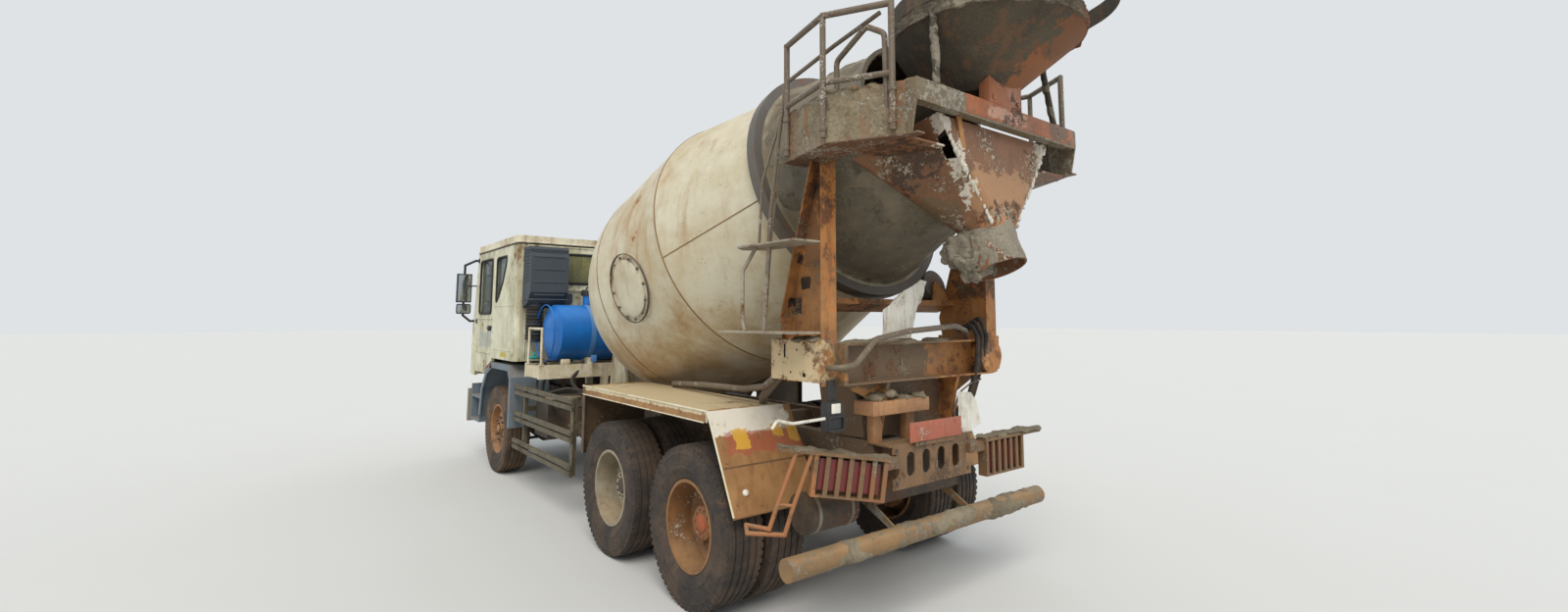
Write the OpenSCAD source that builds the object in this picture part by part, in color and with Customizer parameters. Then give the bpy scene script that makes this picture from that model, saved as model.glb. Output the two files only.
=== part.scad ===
// Concrete mixer truck: three axles, forward control cab, inclined drum.
// +X is forward, +Y is the left side, +Z is up. The origin is on the ground,
// under the middle of the whole vehicle. All sizes are millimetres.

/* [Overall] */
// Front axle to first rear axle
wheelbase = 3633; // [3100:1:4600]
// First rear axle to second rear axle
tandem_spacing = 1274; // [1200:1:1600]
// Front axle to the face of the front bumper
front_overhang = 1353; // [1250:1:1700]
// Second rear axle to the lip of the feed hopper
rear_overhang = 2380; // [2200:1:2900]

/* [Wheels] */
// Outside diameter of a tyre
tyre_d = 1050; // [960:1:1080]
// Width of a tyre
tyre_w = 280; // [240:1:290]
// Radius of the bead seat of a rim
seat_r = 286; // [270:1:300]
// Half width between the rim flanges
rim_half = 108; // [95:1:118]
// Middle of a front tyre from the centre line
front_track_half = 1030; // [1010:1:1100]
// Middle of an outer rear tyre from the centre line
rear_track_half = 1105; // [1080:1:1160]
// Middle to middle of twin tyres
twin_spacing = 330; // [315:1:345]

/* [Frame] */
// Half width over the frame rails
frame_half = 425; // [380:1:440]
// Height of the top of the frame rails
frame_top = 1000; // [980:1:1030]
// Depth of a frame rail
rail_h = 280; // [220:1:300]
// Width of a rail flange
rail_flange = 85; // [70:1:100]
// Thickness of a frame rail
rail_t = 9; // [7:1:12]
// Height of the mixer subframe above the frame
subframe_h = 110; // [90:1:115]
// Frame end behind the second rear axle
frame_tail = 930; // [880:1:960]

/* [Cab] */
// Width of the cab
cab_w = 2400; // [2300:1:2450]
// Front axle to the back of the cab
cab_back = 757; // [740:1:800]
// Height of the underside of the cab
cab_floor_z = 1390; // [1370:1:1440]
// Height of the roof edge
cab_roof_z = 2800; // [2700:1:2950]
// Thickness of the cab walls and doors
cab_wall = 42; // [30:1:50]
// Radius of the upright rear corners of the cab
cab_corner = 70; // [55:1:100]
// Front axle to the rear edge of a door
door_rear = 225; // [200:1:260]
// Front axle to the hinge edge of a door
door_front = 1010; // [980:1:1060]
// Gap around a door
door_gap = 6; // [5:0.5:8]
// Slope of the windscreen towards the rear
screen_rake = 160; // [100:1:200]

/* [Drum] */
// Outside radius of the drum body
drum_r = 1130; // [1050:1:1135]
// Tilt of the drum axis
drum_tilt = 17.2; // [15:0.1:18]
// Thickness of the drum plate
drum_wall = 8; // [6:1:12]
// Length of the straight part of the drum
drum_belly = 1190; // [1000:1:1300]
// Depth of the domed head of the drum
drum_head = 1150; // [1000:1:1160]
// Length of the rear cone
drum_cone = 1950; // [1850:1:2000]
// Radius of the drum mouth
mouth_r = 630; // [600:1:660]
// Middle of the track ring behind the end of the straight part
ring_s = 1092; // [1050:1:1130]
// Outside radius of the track ring
ring_r = 925; // [900:1:935]
// Width of the track ring
ring_w = 90; // [70:1:110]
// Radius of a drum roller
roller_r = 125; // [100:1:135]
// Angle of the rollers from straight below the drum
roller_angle = 38; // [36:1:40]
// End of the straight part, forward of the second rear axle
drum_x = 742; // [700:1:780]
// Height of the drum axis there
drum_z = 2609; // [2600:1:2680]

/* [Water tank] */
// Diameter of the water tank
tank_d = 640; // [560:1:650]
// Length of the water tank
tank_len = 2000; // [1700:1:2080]
// Middle of the tank behind the front axle
tank_back = 1222; // [1210:1:1260]
// Height of the deck under the tank
tank_deck_z = 1380; // [1360:1:1400]

/* [Platform and hopper] */
// Height of the underside of the platform
deck_z = 2880; // [2860:1:2950]
// Height of the skirt plates
skirt_h = 300; // [240:1:320]
// Height of the top rail above the underside
rail_top = 750; // [700:1:1000]
// Diameter of the guard rail tubes
rail_d = 38; // [30:1:45]
// Height of the hopper lip
hopper_z = 3830; // [3780:1:3900]
// Radius of the hopper bowl
hopper_r = 600; // [560:1:620]

/* [Tail and sides] */
// Half length of the underrun pipe
underrun_half = 1230; // [1100:1:1250]
// Diameter of the underrun pipe
underrun_d = 125; // [100:1:140]
// Outer face of the rear mudguards from the centre line
fender_half = 1245; // [1235:1:1260]
// Height of the top of the rear mudguards
fender_z = 1300; // [1260:1:1320]
// Thickness of plate work
plate_t = 10; // [6:1:12]

/* [Hidden] */
$fn = 72;

// stations along the truck
half_len = (front_overhang + wheelbase + tandem_spacing + rear_overhang) / 2;
front_x = half_len;
axle_f = front_x - front_overhang;
axle_1 = axle_f - wheelbase;
axle_2 = axle_1 - tandem_spacing;
bogie_x = (axle_1 + axle_2) / 2;
tail_x = axle_2 - frame_tail;

// wheels and axles
wheel_z = tyre_d / 2;
flange_r = seat_r + 12;
flange_w = 6;
seat_gap = 0.3;
spindle_r = 42;
bearing_gap = 0.08;
king_y = front_track_half - 175;
king_r = 20;
king_gap = 0.08;
boss_r = 45;
boss_h = 120;
lug_h = 34;
lug_gap = 1;
arm_x = -215;
rod_r = 22;
ball_gap = 0.3;
axle_tube_r = 62;
nose_z = wheel_z + 85;
nose_len = 290;
nose_r = 85;
seat_z = wheel_z + 84;
trunnion_z = wheel_z - 25;
trunnion_r = 60;
inner_y = rear_track_half - twin_spacing;
twin_mid = rear_track_half - twin_spacing / 2;
drum_brake_r = 205;
beam_drop = 95;
beam_top = wheel_z - beam_drop;
spring_y = 470;
spring_w = 76;

// frame and subframe
rail_z0 = frame_top - rail_h;
web_in = frame_half - rail_t;
flange_in = frame_half - rail_flange;
subframe_top = frame_top + subframe_h;
frame_front = front_x - 130;
subframe_front = axle_f - tank_back + 290;
engine_x0 = axle_f - 380;
engine_x1 = axle_f + 780;
engine_half = flange_in - 20;
gear_x0 = engine_x0 - 700;

// cab
cab_rear_x = axle_f - cab_back;
cab_front_x = front_x - 70;
screen_x = cab_front_x - 30;
cab_half = cab_w / 2;
cab_floor_t = 36;
foot_z = 1240;
panel_z0 = 1120;
sill_z = 1890;
roof_h = 90;
header_z = cab_roof_z - 90;
door_x0 = axle_f + door_rear;
door_x1 = axle_f + door_front;
door_z0 = 1180;
door_z1 = cab_roof_z - door_gap;
hinge_r = 13;
hinge_y = cab_half + hinge_r + 2;
tunnel_half = 430;
seat_in = tunnel_half + 30;
seat_out = cab_half - 220;
seat_y = (seat_in + seat_out) / 2;
seat_half = (seat_out - seat_in) / 2;
tunnel_top = 1640;
glass_t = 8;
glass_gap = 0.5;
win_z0 = 1960;
win_z1 = cab_roof_z - 120;
tilt_x = front_x - 215;
tilt_z = 1030;
tilt_pin_r = 20;
ear_y0 = 470;
ear_y1 = 500;
rest_x = cab_rear_x + 100;
rest_h = 60;

// drum axis: local +Z runs up and to the rear, local +X points up across it
ring_w2 = ring_w / 2;
cone_slope = (drum_r - mouth_r) / drum_cone;
cone_r = function(s) drum_r - cone_slope * s;
head_s = -drum_belly - drum_head;
hatch_angle = 104.7;
hatch_s = -629;
hatch_r = 295;
roller_c = ring_r + roller_r + 0.3;
roller_w = 100;
roller_pin_r = 28;
roller_base = roller_c * cos(roller_angle) + roller_r + 18;

// rear pedestal
col_y0 = 770;
col_y1 = 860;
col_x1 = axle_2 - 860;
col_x0 = axle_2 - 980;
beam_z0 = 1490;
beam_z1 = 1740;
beam_x = axle_2 - 1000;
step_high = 2350;
step_low = 1800;
step_t = 12;
roller_reach = roller_c * sin(roller_angle);

// platform
skirt_a = [axle_2 - 690, 935];
skirt_b = [axle_2 - 1215, 1050];
skirt_c = [axle_2 - 1625, 835];
walk_in = 775;
cross_x = axle_2 - 1700;
cross_half = 835;
cross_t = 70;
cross_top = deck_z + 310;
skirt_t = 12;
rail_r = rail_d / 2;

// hopper and chute
tail_end = axle_2 - rear_overhang;
hopper_x = axle_2 - 1570;
hopper_t = 8;
hopper_lip_z = hopper_z - 110;
hopper_band_z = hopper_z - 190;
hopper_foot = 3290;
lip_r = 480;
foot_x = axle_2 - 1410;
foot_r = 250;
chute_r = 235;

// trough under the drum mouth, and its spout that leans to the rear
trough_x0 = cross_x + cross_t + 0.3;
trough_x1 = axle_2 - 1060;
trough_z0 = deck_z - 5;
trough_z1 = deck_z + 180;
trough_y0 = 700;
trough_y1 = 575;
trough_t = 8;
sheet_z = deck_z - 60;
spout_x = axle_2 - 1530;
spout_top = 2420;
spout_r = 165;
spout_len = 250;
spout_lean = 22;

// bumper
bumper_top = 920;
tow_z0 = 700;
tow_r = 20;

// arch over a front wheel
arch_y0 = 760;
arch_y1 = 1210;

// tail: its board, ledges and lamp guards
tail_face = axle_2 - 1070;
board_half = 395;
board_z0 = 830;
board_z1 = 1105;
ledge_t = 20;
guard_y0 = 520;
guard_y1 = 985;
guard_z0 = 790;
guard_z1 = 1030;
guard_turn = 26;

// one mirror image on the other side
module both() {
    children();
    mirror([0, 1, 0]) children();
}

// block between two corners
module block(x, y, z) {
    translate([x[0], y[0], z[0]]) cube([x[1] - x[0], y[1] - y[0], z[1] - z[0]]);
}

// outline in X and Z, from one side plane to another
module side_plate(points, y0, y1) {
    translate([0, y1, 0]) rotate([90, 0, 0]) linear_extrude(y1 - y0) polygon(points);
}

// outline in Y and Z, from one cross plane to another
module cross_plate(points, x0, x1) {
    translate([x0, 0, 0]) rotate([90, 0, 90]) linear_extrude(x1 - x0) polygon(points);
}

// outline in X and Y, between two heights
module flat_plate(points, z0, z1) {
    translate([0, 0, z0]) linear_extrude(z1 - z0) polygon(points);
}

// a bend of a tube is a little thicker than the tube
bend_bead = 1.06;

// straight round bar between two points
module rod(a, b, r) {
    v = b - a;
    len = norm(v);
    translate(a) rotate([0, acos(v[2] / len), atan2(v[1], v[0])]) cylinder(h = len, r = r, $fn = 32);
}

// bent tube through a list of points
module tube_run(points, r) {
    for (i = [0 : len(points) - 2]) rod(points[i], points[i + 1], r);
    for (i = [1 : 1 : len(points) - 2]) translate(points[i]) sphere(r = bend_bead * r, $fn = 24);
}

// turned shape about a cross axis, profile columns are radius and outward place
module turned(x, y, z) {
    translate([x, y, z]) rotate([-90, 0, 0]) rotate_extrude() children();
}

// cylinder along Y from y0 to y1
module shaft(x, z, y0, y1, r) {
    translate([x, y0, z]) rotate([-90, 0, 0]) cylinder(h = y1 - y0, r = r);
}

// place in drum axes
module on_drum(s = 0) {
    translate([axle_2 + drum_x, 0, drum_z]) rotate([0, drum_tilt - 90, 0]) translate([0, 0, s]) children();
}

// rectangle in plan with round corners
module round_plan(x0, x1, half, r) {
    translate([x0 + r, -half]) square([x1 - x0 - 2 * r, 2 * half]);
    translate([x0, -half + r]) square([x1 - x0, 2 * half - 2 * r]);
    for (x = [x0 + r, x1 - r], y = [r - half, half - r]) translate([x, y]) circle(r = r);
}

module chassis_frame() color("#3a332d") {
    rail = [[web_in, rail_z0], [frame_half, rail_z0], [frame_half, frame_top], [flange_in, frame_top],
        [flange_in, frame_top - rail_t], [web_in, frame_top - rail_t], [web_in, rail_z0 + rail_t],
        [flange_in, rail_z0 + rail_t], [flange_in, rail_z0]];
    cross_at = [frame_front - 120, gear_x0 - 60, axle_1 + 900, bogie_x, tail_x + 60];
    union() {
        both() cross_plate(rail, tail_x, frame_front);
        for (x = cross_at) block([x - 40, x + 40], [-web_in, web_in], [frame_top - 120, frame_top - rail_t]);
        // brackets that hold the trunnion of the rear springs
        both() block([bogie_x - 110, bogie_x + 110], [flange_in, frame_half], [trunnion_z + trunnion_r, rail_z0]);
        // hinge of the cab in front, and the stand it rests on behind
        both() {
            shaft(tilt_x, tilt_z, frame_half - 10, ear_y1 + 40, tilt_pin_r);
            side_plate([[tilt_x - 70, frame_top - 90], [tilt_x + 70, frame_top - 90], [tilt_x + 40, tilt_z + 45],
                [tilt_x - 40, tilt_z + 45]], frame_half - rail_t, ear_y0 - 5);
            block([rest_x - 30, rest_x + 30], [flange_in, frame_half], [frame_top - 1, cab_floor_z - rest_h]);
        }
        block([rest_x - 30, rest_x + 30], [-620, 620], [cab_floor_z - rest_h, cab_floor_z - seat_gap]);
        // end plate of the frame
        block([tail_x - 12, tail_x], [-frame_half, frame_half], [rail_z0, frame_top]);
    }
}

module mixer_subframe() color("#7d6a52") {
    union() {
        both() block([tail_x, subframe_front], [flange_in, frame_half - 10], [frame_top, subframe_top]);
        for (x = [tail_x + 50, axle_2 - 250, bogie_x, axle_1 + 700, subframe_front - 60])
            block([x - 50, x + 50], [-flange_in, flange_in], [frame_top, subframe_top - 20]);
    }
}

module front_axle() color("#463c33") {
    difference() {
        union() {
            // beam and its rise to the kingpins
            side_y = spring_y + 120;
            rise_y = king_y - boss_r - 15;
            block([axle_f - 50, axle_f + 50], [-side_y, side_y], [beam_top - 110, beam_top]);
            both() cross_plate([[side_y, beam_top - 110], [rise_y, wheel_z - 50], [king_y, wheel_z - 50],
                [king_y, wheel_z + 45], [rise_y, wheel_z + 45], [side_y, beam_top]], axle_f - 45, axle_f + 45);
            both() translate([axle_f, king_y, wheel_z - boss_h / 2]) cylinder(h = boss_h, r = boss_r);
        }
        both() translate([axle_f, king_y, wheel_z - boss_h]) cylinder(h = 2 * boss_h, r = king_r + king_gap);
    }
}

module knuckle() color("#463c33") {
    lug_z = boss_h / 2 + lug_gap;
    web_y = king_y + boss_r + 6;
    union() {
        translate([axle_f, king_y, wheel_z]) {
            cylinder(h = 2 * lug_z + 2, r = king_r, center = true);
            for (z = [-lug_z - lug_h, lug_z]) translate([0, 0, z]) cylinder(h = lug_h, r = boss_r);
        }
        for (z = [-lug_z - lug_h, lug_z])
            block([axle_f - boss_r, axle_f + boss_r], [king_y, web_y], [wheel_z + z, wheel_z + z + lug_h]);
        block([axle_f - 70, axle_f + 70], [web_y, web_y + 24],
            [wheel_z - lug_z - lug_h, wheel_z + lug_z + lug_h]);
        shaft(axle_f, wheel_z, web_y + 24, front_track_half + 70, spindle_r);
        // steering arm with the ball that carries the track rod
        low = wheel_z - lug_z - lug_h;
        block([axle_f + arm_x, axle_f - boss_r + 12], [king_y - 18, king_y + 18], [low, low + 26]);
        translate([axle_f + arm_x, king_y, low]) cylinder(h = 26, r = 26);
        translate([axle_f + arm_x, king_y, low - 44]) cylinder(h = 44, r = 12);
    }
}

module knuckle_left() knuckle();

module knuckle_right() mirror([0, 1, 0]) knuckle();

module track_rod() color("#463c33") {
    low = wheel_z - boss_h / 2 - lug_gap - lug_h;
    difference() {
        union() {
            shaft(axle_f + arm_x, low - 25, -king_y, king_y, rod_r - 4);
            both() translate([axle_f + arm_x, king_y, low - 42]) cylinder(h = 36, r = 30);
        }
        both() translate([axle_f + arm_x, king_y, low - 60]) cylinder(h = 80, r = 12 + ball_gap);
    }
}

module rear_axles() color("#40362e") {
    for (x = [axle_1, axle_2]) {
        union() {
            shaft(x, wheel_z, -inner_y + 150, inner_y - 150, axle_tube_r);
            both() shaft(x, wheel_z, inner_y - 160, rear_track_half - 40, spindle_r);
            translate([x, 0, wheel_z]) sphere(r = 205);
            // pinion nose towards the front, and the through drive behind the first
            translate([x, 0, nose_z]) rotate([0, 90, 0]) cylinder(h = nose_len, r = nose_r);
            if (x == axle_1) translate([x, 0, nose_z]) rotate([0, -90, 0]) cylinder(h = 240, r = 60);
            // seats of the springs
            both() block([x - 60, x + 60], [spring_y - 45, spring_y + 45], [wheel_z - 70, seat_z]);
        }
    }
    // trunnion between the axles
    shaft(bogie_x, trunnion_z, -spring_y - 45, spring_y + 45, trunnion_r);
}

// leaves of the springs, longest at the top in front and at the bottom at the rear
module leaf_springs() color("#332c27") {
    leaf = 14;
    half = spring_w / 2;
    across = [spring_y - half, spring_y + half];
    both() {
        // front packs on the axle beam
        union() {
            block([axle_f - 75, axle_f + 75], across, [beam_top, beam_top + 60]);
            for (i = [0 : 3]) block([axle_f - 700 + 150 * i, axle_f + 700 - 150 * i], across,
                [beam_top + 60 + leaf * (3 - i), beam_top + 60 + leaf * (4 - i)]);
            for (x = [axle_f - 690, axle_f + 660]) {
                block([x, x + 30], across, [beam_top + 60 + leaf * 4, rail_z0]);
                block([x, x + 30], [frame_half, spring_y + half], [rail_z0, rail_z0 + 90]);
            }
        }
        // rear packs between the two axles
        union() {
            block([bogie_x - 90, bogie_x + 90], across, [trunnion_z + trunnion_r, seat_z]);
            for (i = [0 : 4]) block([axle_2 - 90 + 110 * i, axle_1 + 90 - 110 * i], across,
                [seat_z + leaf * i, seat_z + leaf * (i + 1)]);
        }
    }
}

module tyre_ring(x, y) {
    w = tyre_w / 2;
    r = tyre_d / 2;
    turned(x, y, wheel_z) polygon([[seat_r + seat_gap, -rim_half + 1], [flange_r + 1, -rim_half + 1],
        [flange_r + 16, 22 - w], [r - 130, -w], [r - 72, 1 - w], [r - 20, 16 - w], [r, 42 - w],
        [r, w - 42], [r - 20, w - 16], [r - 72, w - 1], [r - 130, w], [flange_r + 16, w - 22],
        [flange_r + 1, rim_half - 1], [seat_r + seat_gap, rim_half - 1]]);
}

// profile of a rim: barrel, flanges and a disc that meets the hub at hub_y
module rim_ring(x, y, disc_y, hub_y, flat_r) {
    turned(x, y, wheel_z) {
        translate([seat_r - 9, -rim_half]) square([9, 2 * rim_half]);
        for (s = [-rim_half - flange_w, rim_half])
            translate([seat_r - 9, s]) square([flange_r - seat_r + 9, flange_w]);
        polygon([[seat_r - 8, disc_y], [seat_r - 8, disc_y + 14], [flat_r, hub_y + 7], [75, hub_y + 7],
            [75, hub_y - 7], [flat_r, hub_y - 7]]);
    }
}

module front_tyre() color("#2b2723") tyre_ring(axle_f, front_track_half);

module front_rim() color("#b48a5c") {
    y = front_track_half;
    difference() {
        union() {
            rim_ring(axle_f, y, 20, 62, 150);
            shaft(axle_f, wheel_z, y - 60, y + 100, 82);
            shaft(axle_f, wheel_z, y - 84, y - 30, drum_brake_r);
        }
        shaft(axle_f, wheel_z, y - 100, y + 70 + 1, spindle_r + bearing_gap);
        for (i = [0 : 9]) translate([axle_f, y, wheel_z]) rotate([0, 36 * i, 0])
            translate([210, 20, 0]) rotate([-90, 0, 0]) cylinder(h = 60, r = 24);
    }
}

module front_tyre_left() front_tyre();
module front_tyre_right() mirror([0, 1, 0]) front_tyre();
module front_rim_left() front_rim();
module front_rim_right() mirror([0, 1, 0]) front_rim();

module twin_tyres(x) color("#2b2723") for (y = [inner_y, rear_track_half]) tyre_ring(x, y);

// two dished rims back to back on one hub
module twin_rims(x) color("#a98a62") {
    hub_y = twin_spacing / 2 - 7;
    difference() {
        union() {
            rim_ring(x, rear_track_half, -90, -hub_y, 190);
            translate([0, 2 * inner_y, 0]) mirror([0, 1, 0]) rim_ring(x, inner_y, -90, -hub_y, 190);
            shaft(x, wheel_z, twin_mid - 10, rear_track_half + 5, 105);
            shaft(x, wheel_z, inner_y - 90, twin_mid, 90);
            shaft(x, wheel_z, inner_y - 90, inner_y + 60, drum_brake_r);
        }
        shaft(x, wheel_z, inner_y - 100, rear_track_half - 39, spindle_r + bearing_gap);
        for (i = [0 : 9]) translate([x, twin_mid, wheel_z]) rotate([0, 36 * i, 0])
            translate([232, 0, 0]) rotate([90, 0, 0]) cylinder(h = 150, r = 20, center = true);
    }
}

module first_tyres_left() twin_tyres(axle_1);
module first_tyres_right() mirror([0, 1, 0]) twin_tyres(axle_1);
module first_rims_left() twin_rims(axle_1);
module first_rims_right() mirror([0, 1, 0]) twin_rims(axle_1);
module second_tyres_left() twin_tyres(axle_2);
module second_tyres_right() mirror([0, 1, 0]) twin_tyres(axle_2);
module second_rims_left() twin_rims(axle_2);
module second_rims_right() mirror([0, 1, 0]) twin_rims(axle_2);

module engine_block() color("#4a4743") {
    union() {
        block([engine_x0, engine_x1], [-engine_half, engine_half], [640, 1560]);
        block([gear_x0, engine_x0], [110 - engine_half, engine_half - 110], [680, frame_top - 20]);
        // feet on the frame rails
        for (x = [engine_x0 + 120, engine_x1 - 260])
            both() block([x, x + 120], [engine_half, frame_half - 20], [frame_top, frame_top + 30]);
    }
}

// shafts with a yoke at each end, from the gearbox to both axles
module driveline() color("#463c33") {
    out_z = 800;
    yoke = 70;
    back = axle_1 - 240;
    front = axle_1 + nose_len;
    union() {
        translate([gear_x0 - yoke, 0, out_z]) rotate([0, 90, 0]) cylinder(h = yoke, r = 62);
        translate([front, 0, nose_z]) rotate([0, 90, 0]) cylinder(h = yoke, r = 62);
        rod([gear_x0 - yoke / 2, 0, out_z], [front + yoke / 2, 0, nose_z], 50);
    }
    union() {
        translate([back - yoke, 0, nose_z]) rotate([0, 90, 0]) cylinder(h = yoke, r = 52);
        translate([axle_2 + nose_len, 0, nose_z]) rotate([0, 90, 0]) cylinder(h = yoke, r = 52);
        rod([back - yoke / 2, 0, nose_z], [axle_2 + nose_len + yoke / 2, 0, nose_z], 40);
    }
}

// tanks and boxes that hang outside the frame rails
module side_tanks() color("#3b352f") {
    tank_x0 = axle_1 + 1250;
    tank_x1 = axle_f - 1130;
    // fuel tank on the right
    union() {
        block([tank_x0, tank_x1], [-1060, -500], [560, 1060]);
        for (x = [tank_x0 + 150, tank_x1 - 200]) block([x, x + 50], [-500, -frame_half], [740, 980]);
    }
    // battery box on the left
    union() {
        block([tank_x1 - 420, tank_x1], [560, 1040], [600, 1010]);
        block([tank_x1 - 300, tank_x1 - 120], [frame_half, 560], [740, 980]);
    }
    // air reservoirs on the left
    for (z = [700, 960]) union() {
        translate([tank_x0, 700, z]) rotate([0, 90, 0]) cylinder(h = 560, r = 110);
        block([tank_x0 + 100, tank_x0 + 150], [frame_half, 620], [max(z - 60, rail_z0), min(z + 60, frame_top)]);
        block([tank_x0 + 400, tank_x0 + 450], [frame_half, 620], [max(z - 60, rail_z0), min(z + 60, frame_top)]);
    }
    // air reservoir across the tail
    union() {
        shaft(tail_x + 200, 700, frame_half + 40, frame_half + 420, 125);
        block([tail_x + 170, tail_x + 230], [frame_half, frame_half + 60], [730, 960]);
    }
}

module front_bumper() color("#8b8478") {
    difference() {
        union() {
            flat_plate([[front_x - 110, -1215], [front_x - 40, -1215], [front_x, -1050], [front_x, 1050],
                [front_x - 40, 1215], [front_x - 110, 1215]], 480, bumper_top);
            both() block([frame_front - 60, front_x - 110], [flange_in, frame_half], [rail_z0 - 120, rail_z0]);
            both() block([frame_front, front_x - 110], [flange_in, frame_half], [rail_z0, frame_top - 90]);
        }
        // lamp recesses
        both() translate([front_x - 45, 900, 700]) rotate([0, 90, 0]) cylinder(h = 60, r = 95);
        // slot of the radiator
        block([front_x - 30, front_x + 1], [-500, 500], [540, 660]);
        // jaw and pin hole for towing
        block([front_x - 85, front_x + 1], [-70, 70], [760, 825]);
        translate([front_x - 45, 0, tow_z0]) cylinder(h = bumper_top - tow_z0 + 1, r = tow_r);
    }
}

module lamps() color("#b3392b") {
    // head lamps
    both() translate([front_x - 45, 900, 700]) rotate([0, 90, 0]) cylinder(h = 42, r = 90);
    // tail lamps behind their guards
    for (side = [-1, 1]) at_guard(side) lamp_row();
    // side marker on the arch guard
    both() translate([axle_f + 190, arch_y1, 1290]) rotate([-90, 0, 0]) cylinder(h = 22, r = 26);
}

// closed plan of the cab, as thick as its walls
module cab_tube(z0, z1) {
    translate([0, 0, z0]) linear_extrude(z1 - z0) difference() {
        round_plan(cab_rear_x, cab_front_x + 200, cab_half, cab_corner);
        round_plan(cab_rear_x + cab_wall, cab_front_x + 160, cab_half - cab_wall, cab_corner - cab_wall + 8);
    }
}

module cab_floor() color("#8f8a7c") {
    step_x = axle_f + 640;
    inner = cab_half - cab_wall;
    union() {
        // high floor over the wheels, its riser and the low floor at the feet
        difference() {
            translate([0, 0, cab_floor_z]) linear_extrude(cab_floor_t) difference() {
                round_plan(cab_rear_x + cab_wall, step_x + 100, inner, cab_corner - cab_wall + 8);
                translate([step_x, -inner]) square([101, 2 * inner]);
            }
            block([cab_rear_x + 300, step_x + 1], [-tunnel_half, tunnel_half],
                [cab_floor_z - 1, cab_floor_z + cab_floor_t + 1]);
            // beside the doors the floor stays clear of them
            both() block([door_x0, step_x + 1], [inner - door_gap, inner + 1],
                [cab_floor_z - 1, cab_floor_z + cab_floor_t + 1]);
        }
        both() block([step_x, step_x + 30], [tunnel_half, inner - door_gap], [foot_z, cab_floor_z + cab_floor_t]);
        both() block([step_x, cab_front_x - 45], [tunnel_half, inner - door_gap], [foot_z, foot_z + 30]);
        // engine tunnel
        both() block([cab_rear_x + 300, cab_front_x - 45], [tunnel_half, tunnel_half + 25],
            [foot_z, tunnel_top]);
        block([cab_rear_x + 300, cab_front_x - 45], [-tunnel_half, tunnel_half], [tunnel_top - 25, tunnel_top]);
        block([cab_rear_x + 275, cab_rear_x + 300], [-tunnel_half - 25, tunnel_half + 25],
            [cab_floor_z, tunnel_top]);
        // ears on the tilt hinge
        both() difference() {
            side_plate([[tilt_x - 60, tilt_z - 40], [tilt_x + 60, tilt_z - 40], [tilt_x + 60, foot_z + 1],
                [tilt_x - 60, foot_z + 1]], ear_y0, ear_y1);
            shaft(tilt_x, tilt_z, ear_y0 - 1, ear_y1 + 1, tilt_pin_r + bearing_gap);
        }
    }
}

module cab_rear_wall() color("#d8cfae") {
    difference() {
        intersection() {
            cab_tube(cab_floor_z, cab_roof_z);
            block([cab_rear_x, cab_rear_x + cab_corner], [-cab_half, cab_half], [cab_floor_z, cab_roof_z]);
        }
        // rear window
        block([cab_rear_x - 1, cab_rear_x + cab_wall + 1], [-630, 630], [2330, 2690]);
    }
}

// quarter window: straight rear edge, its front edge runs to a point at the bottom
quarter = [[axle_f + 110, cab_roof_z - 130], [axle_f - 330, cab_roof_z - 130], [axle_f - 300, 2560],
    [axle_f - 180, 2350], [axle_f - 20, 2180], [axle_f + 110, 2080]];

module cab_side_panels() color("#d8cfae") {
    both() difference() {
        intersection() {
            cab_tube(cab_floor_z, cab_roof_z);
            block([cab_rear_x + cab_corner, door_x0], [0, cab_half], [cab_floor_z, cab_roof_z]);
        }
        side_plate(quarter, cab_half - cab_wall - 1, cab_half + 1);
    }
}

// corner panels, screen pillars and the front of the cab
module cab_front_panel() color("#d8cfae") {
    top_x = screen_x - screen_rake;
    slope = screen_rake / (cab_roof_z - sill_z);
    union() {
        // corner panels and screen pillars
        both() side_plate([[door_x1, panel_z0 + 90], [door_x1 + 60, panel_z0], [cab_front_x - 45, panel_z0],
            [cab_front_x - 45, sill_z], [screen_x, sill_z], [top_x, cab_roof_z], [door_x1, cab_roof_z]],
            cab_half - cab_wall, cab_half);
        both() side_plate([[screen_x - 60, sill_z], [screen_x, sill_z], [top_x, cab_roof_z],
            [top_x - 60, cab_roof_z]], cab_half - cab_wall - 60, cab_half - cab_wall);
        // front panel
        block([cab_front_x - 45, cab_front_x], [-cab_half, cab_half], [panel_z0, sill_z]);
        // header over the windscreen
        side_plate([[screen_x - 40 - slope * (header_z - sill_z), header_z],
            [screen_x - slope * (header_z - sill_z), header_z], [top_x, cab_roof_z], [top_x - 40, cab_roof_z]],
            -cab_half + cab_wall + 60, cab_half - cab_wall - 60);
        // hinge barrels of the doors
        both() for (z = [1500, 2400]) difference() {
            union() {
                translate([door_x1 + 4, hinge_y, z]) cylinder(h = 50, r = hinge_r);
                block([door_x1 + 4, door_x1 + 40], [cab_half, hinge_y + 4], [z, z + 50]);
            }
            translate([door_x1 + 4, hinge_y, z - 1]) cylinder(h = 52, r = 6.08);
        }
    }
}

module cab_roof() color("#cfc6a6") {
    top_x = screen_x - screen_rake;
    translate([0, 0, cab_roof_z]) difference() {
        linear_extrude(roof_h) round_plan(cab_rear_x - 12, top_x + 12, cab_half + 8, cab_corner);
        // the inside of the roof is hollow
        translate([0, 0, -1]) linear_extrude(roof_h - 23)
            round_plan(cab_rear_x + cab_wall, top_x - 44, cab_half - cab_wall, 30);
    }
}

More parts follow.
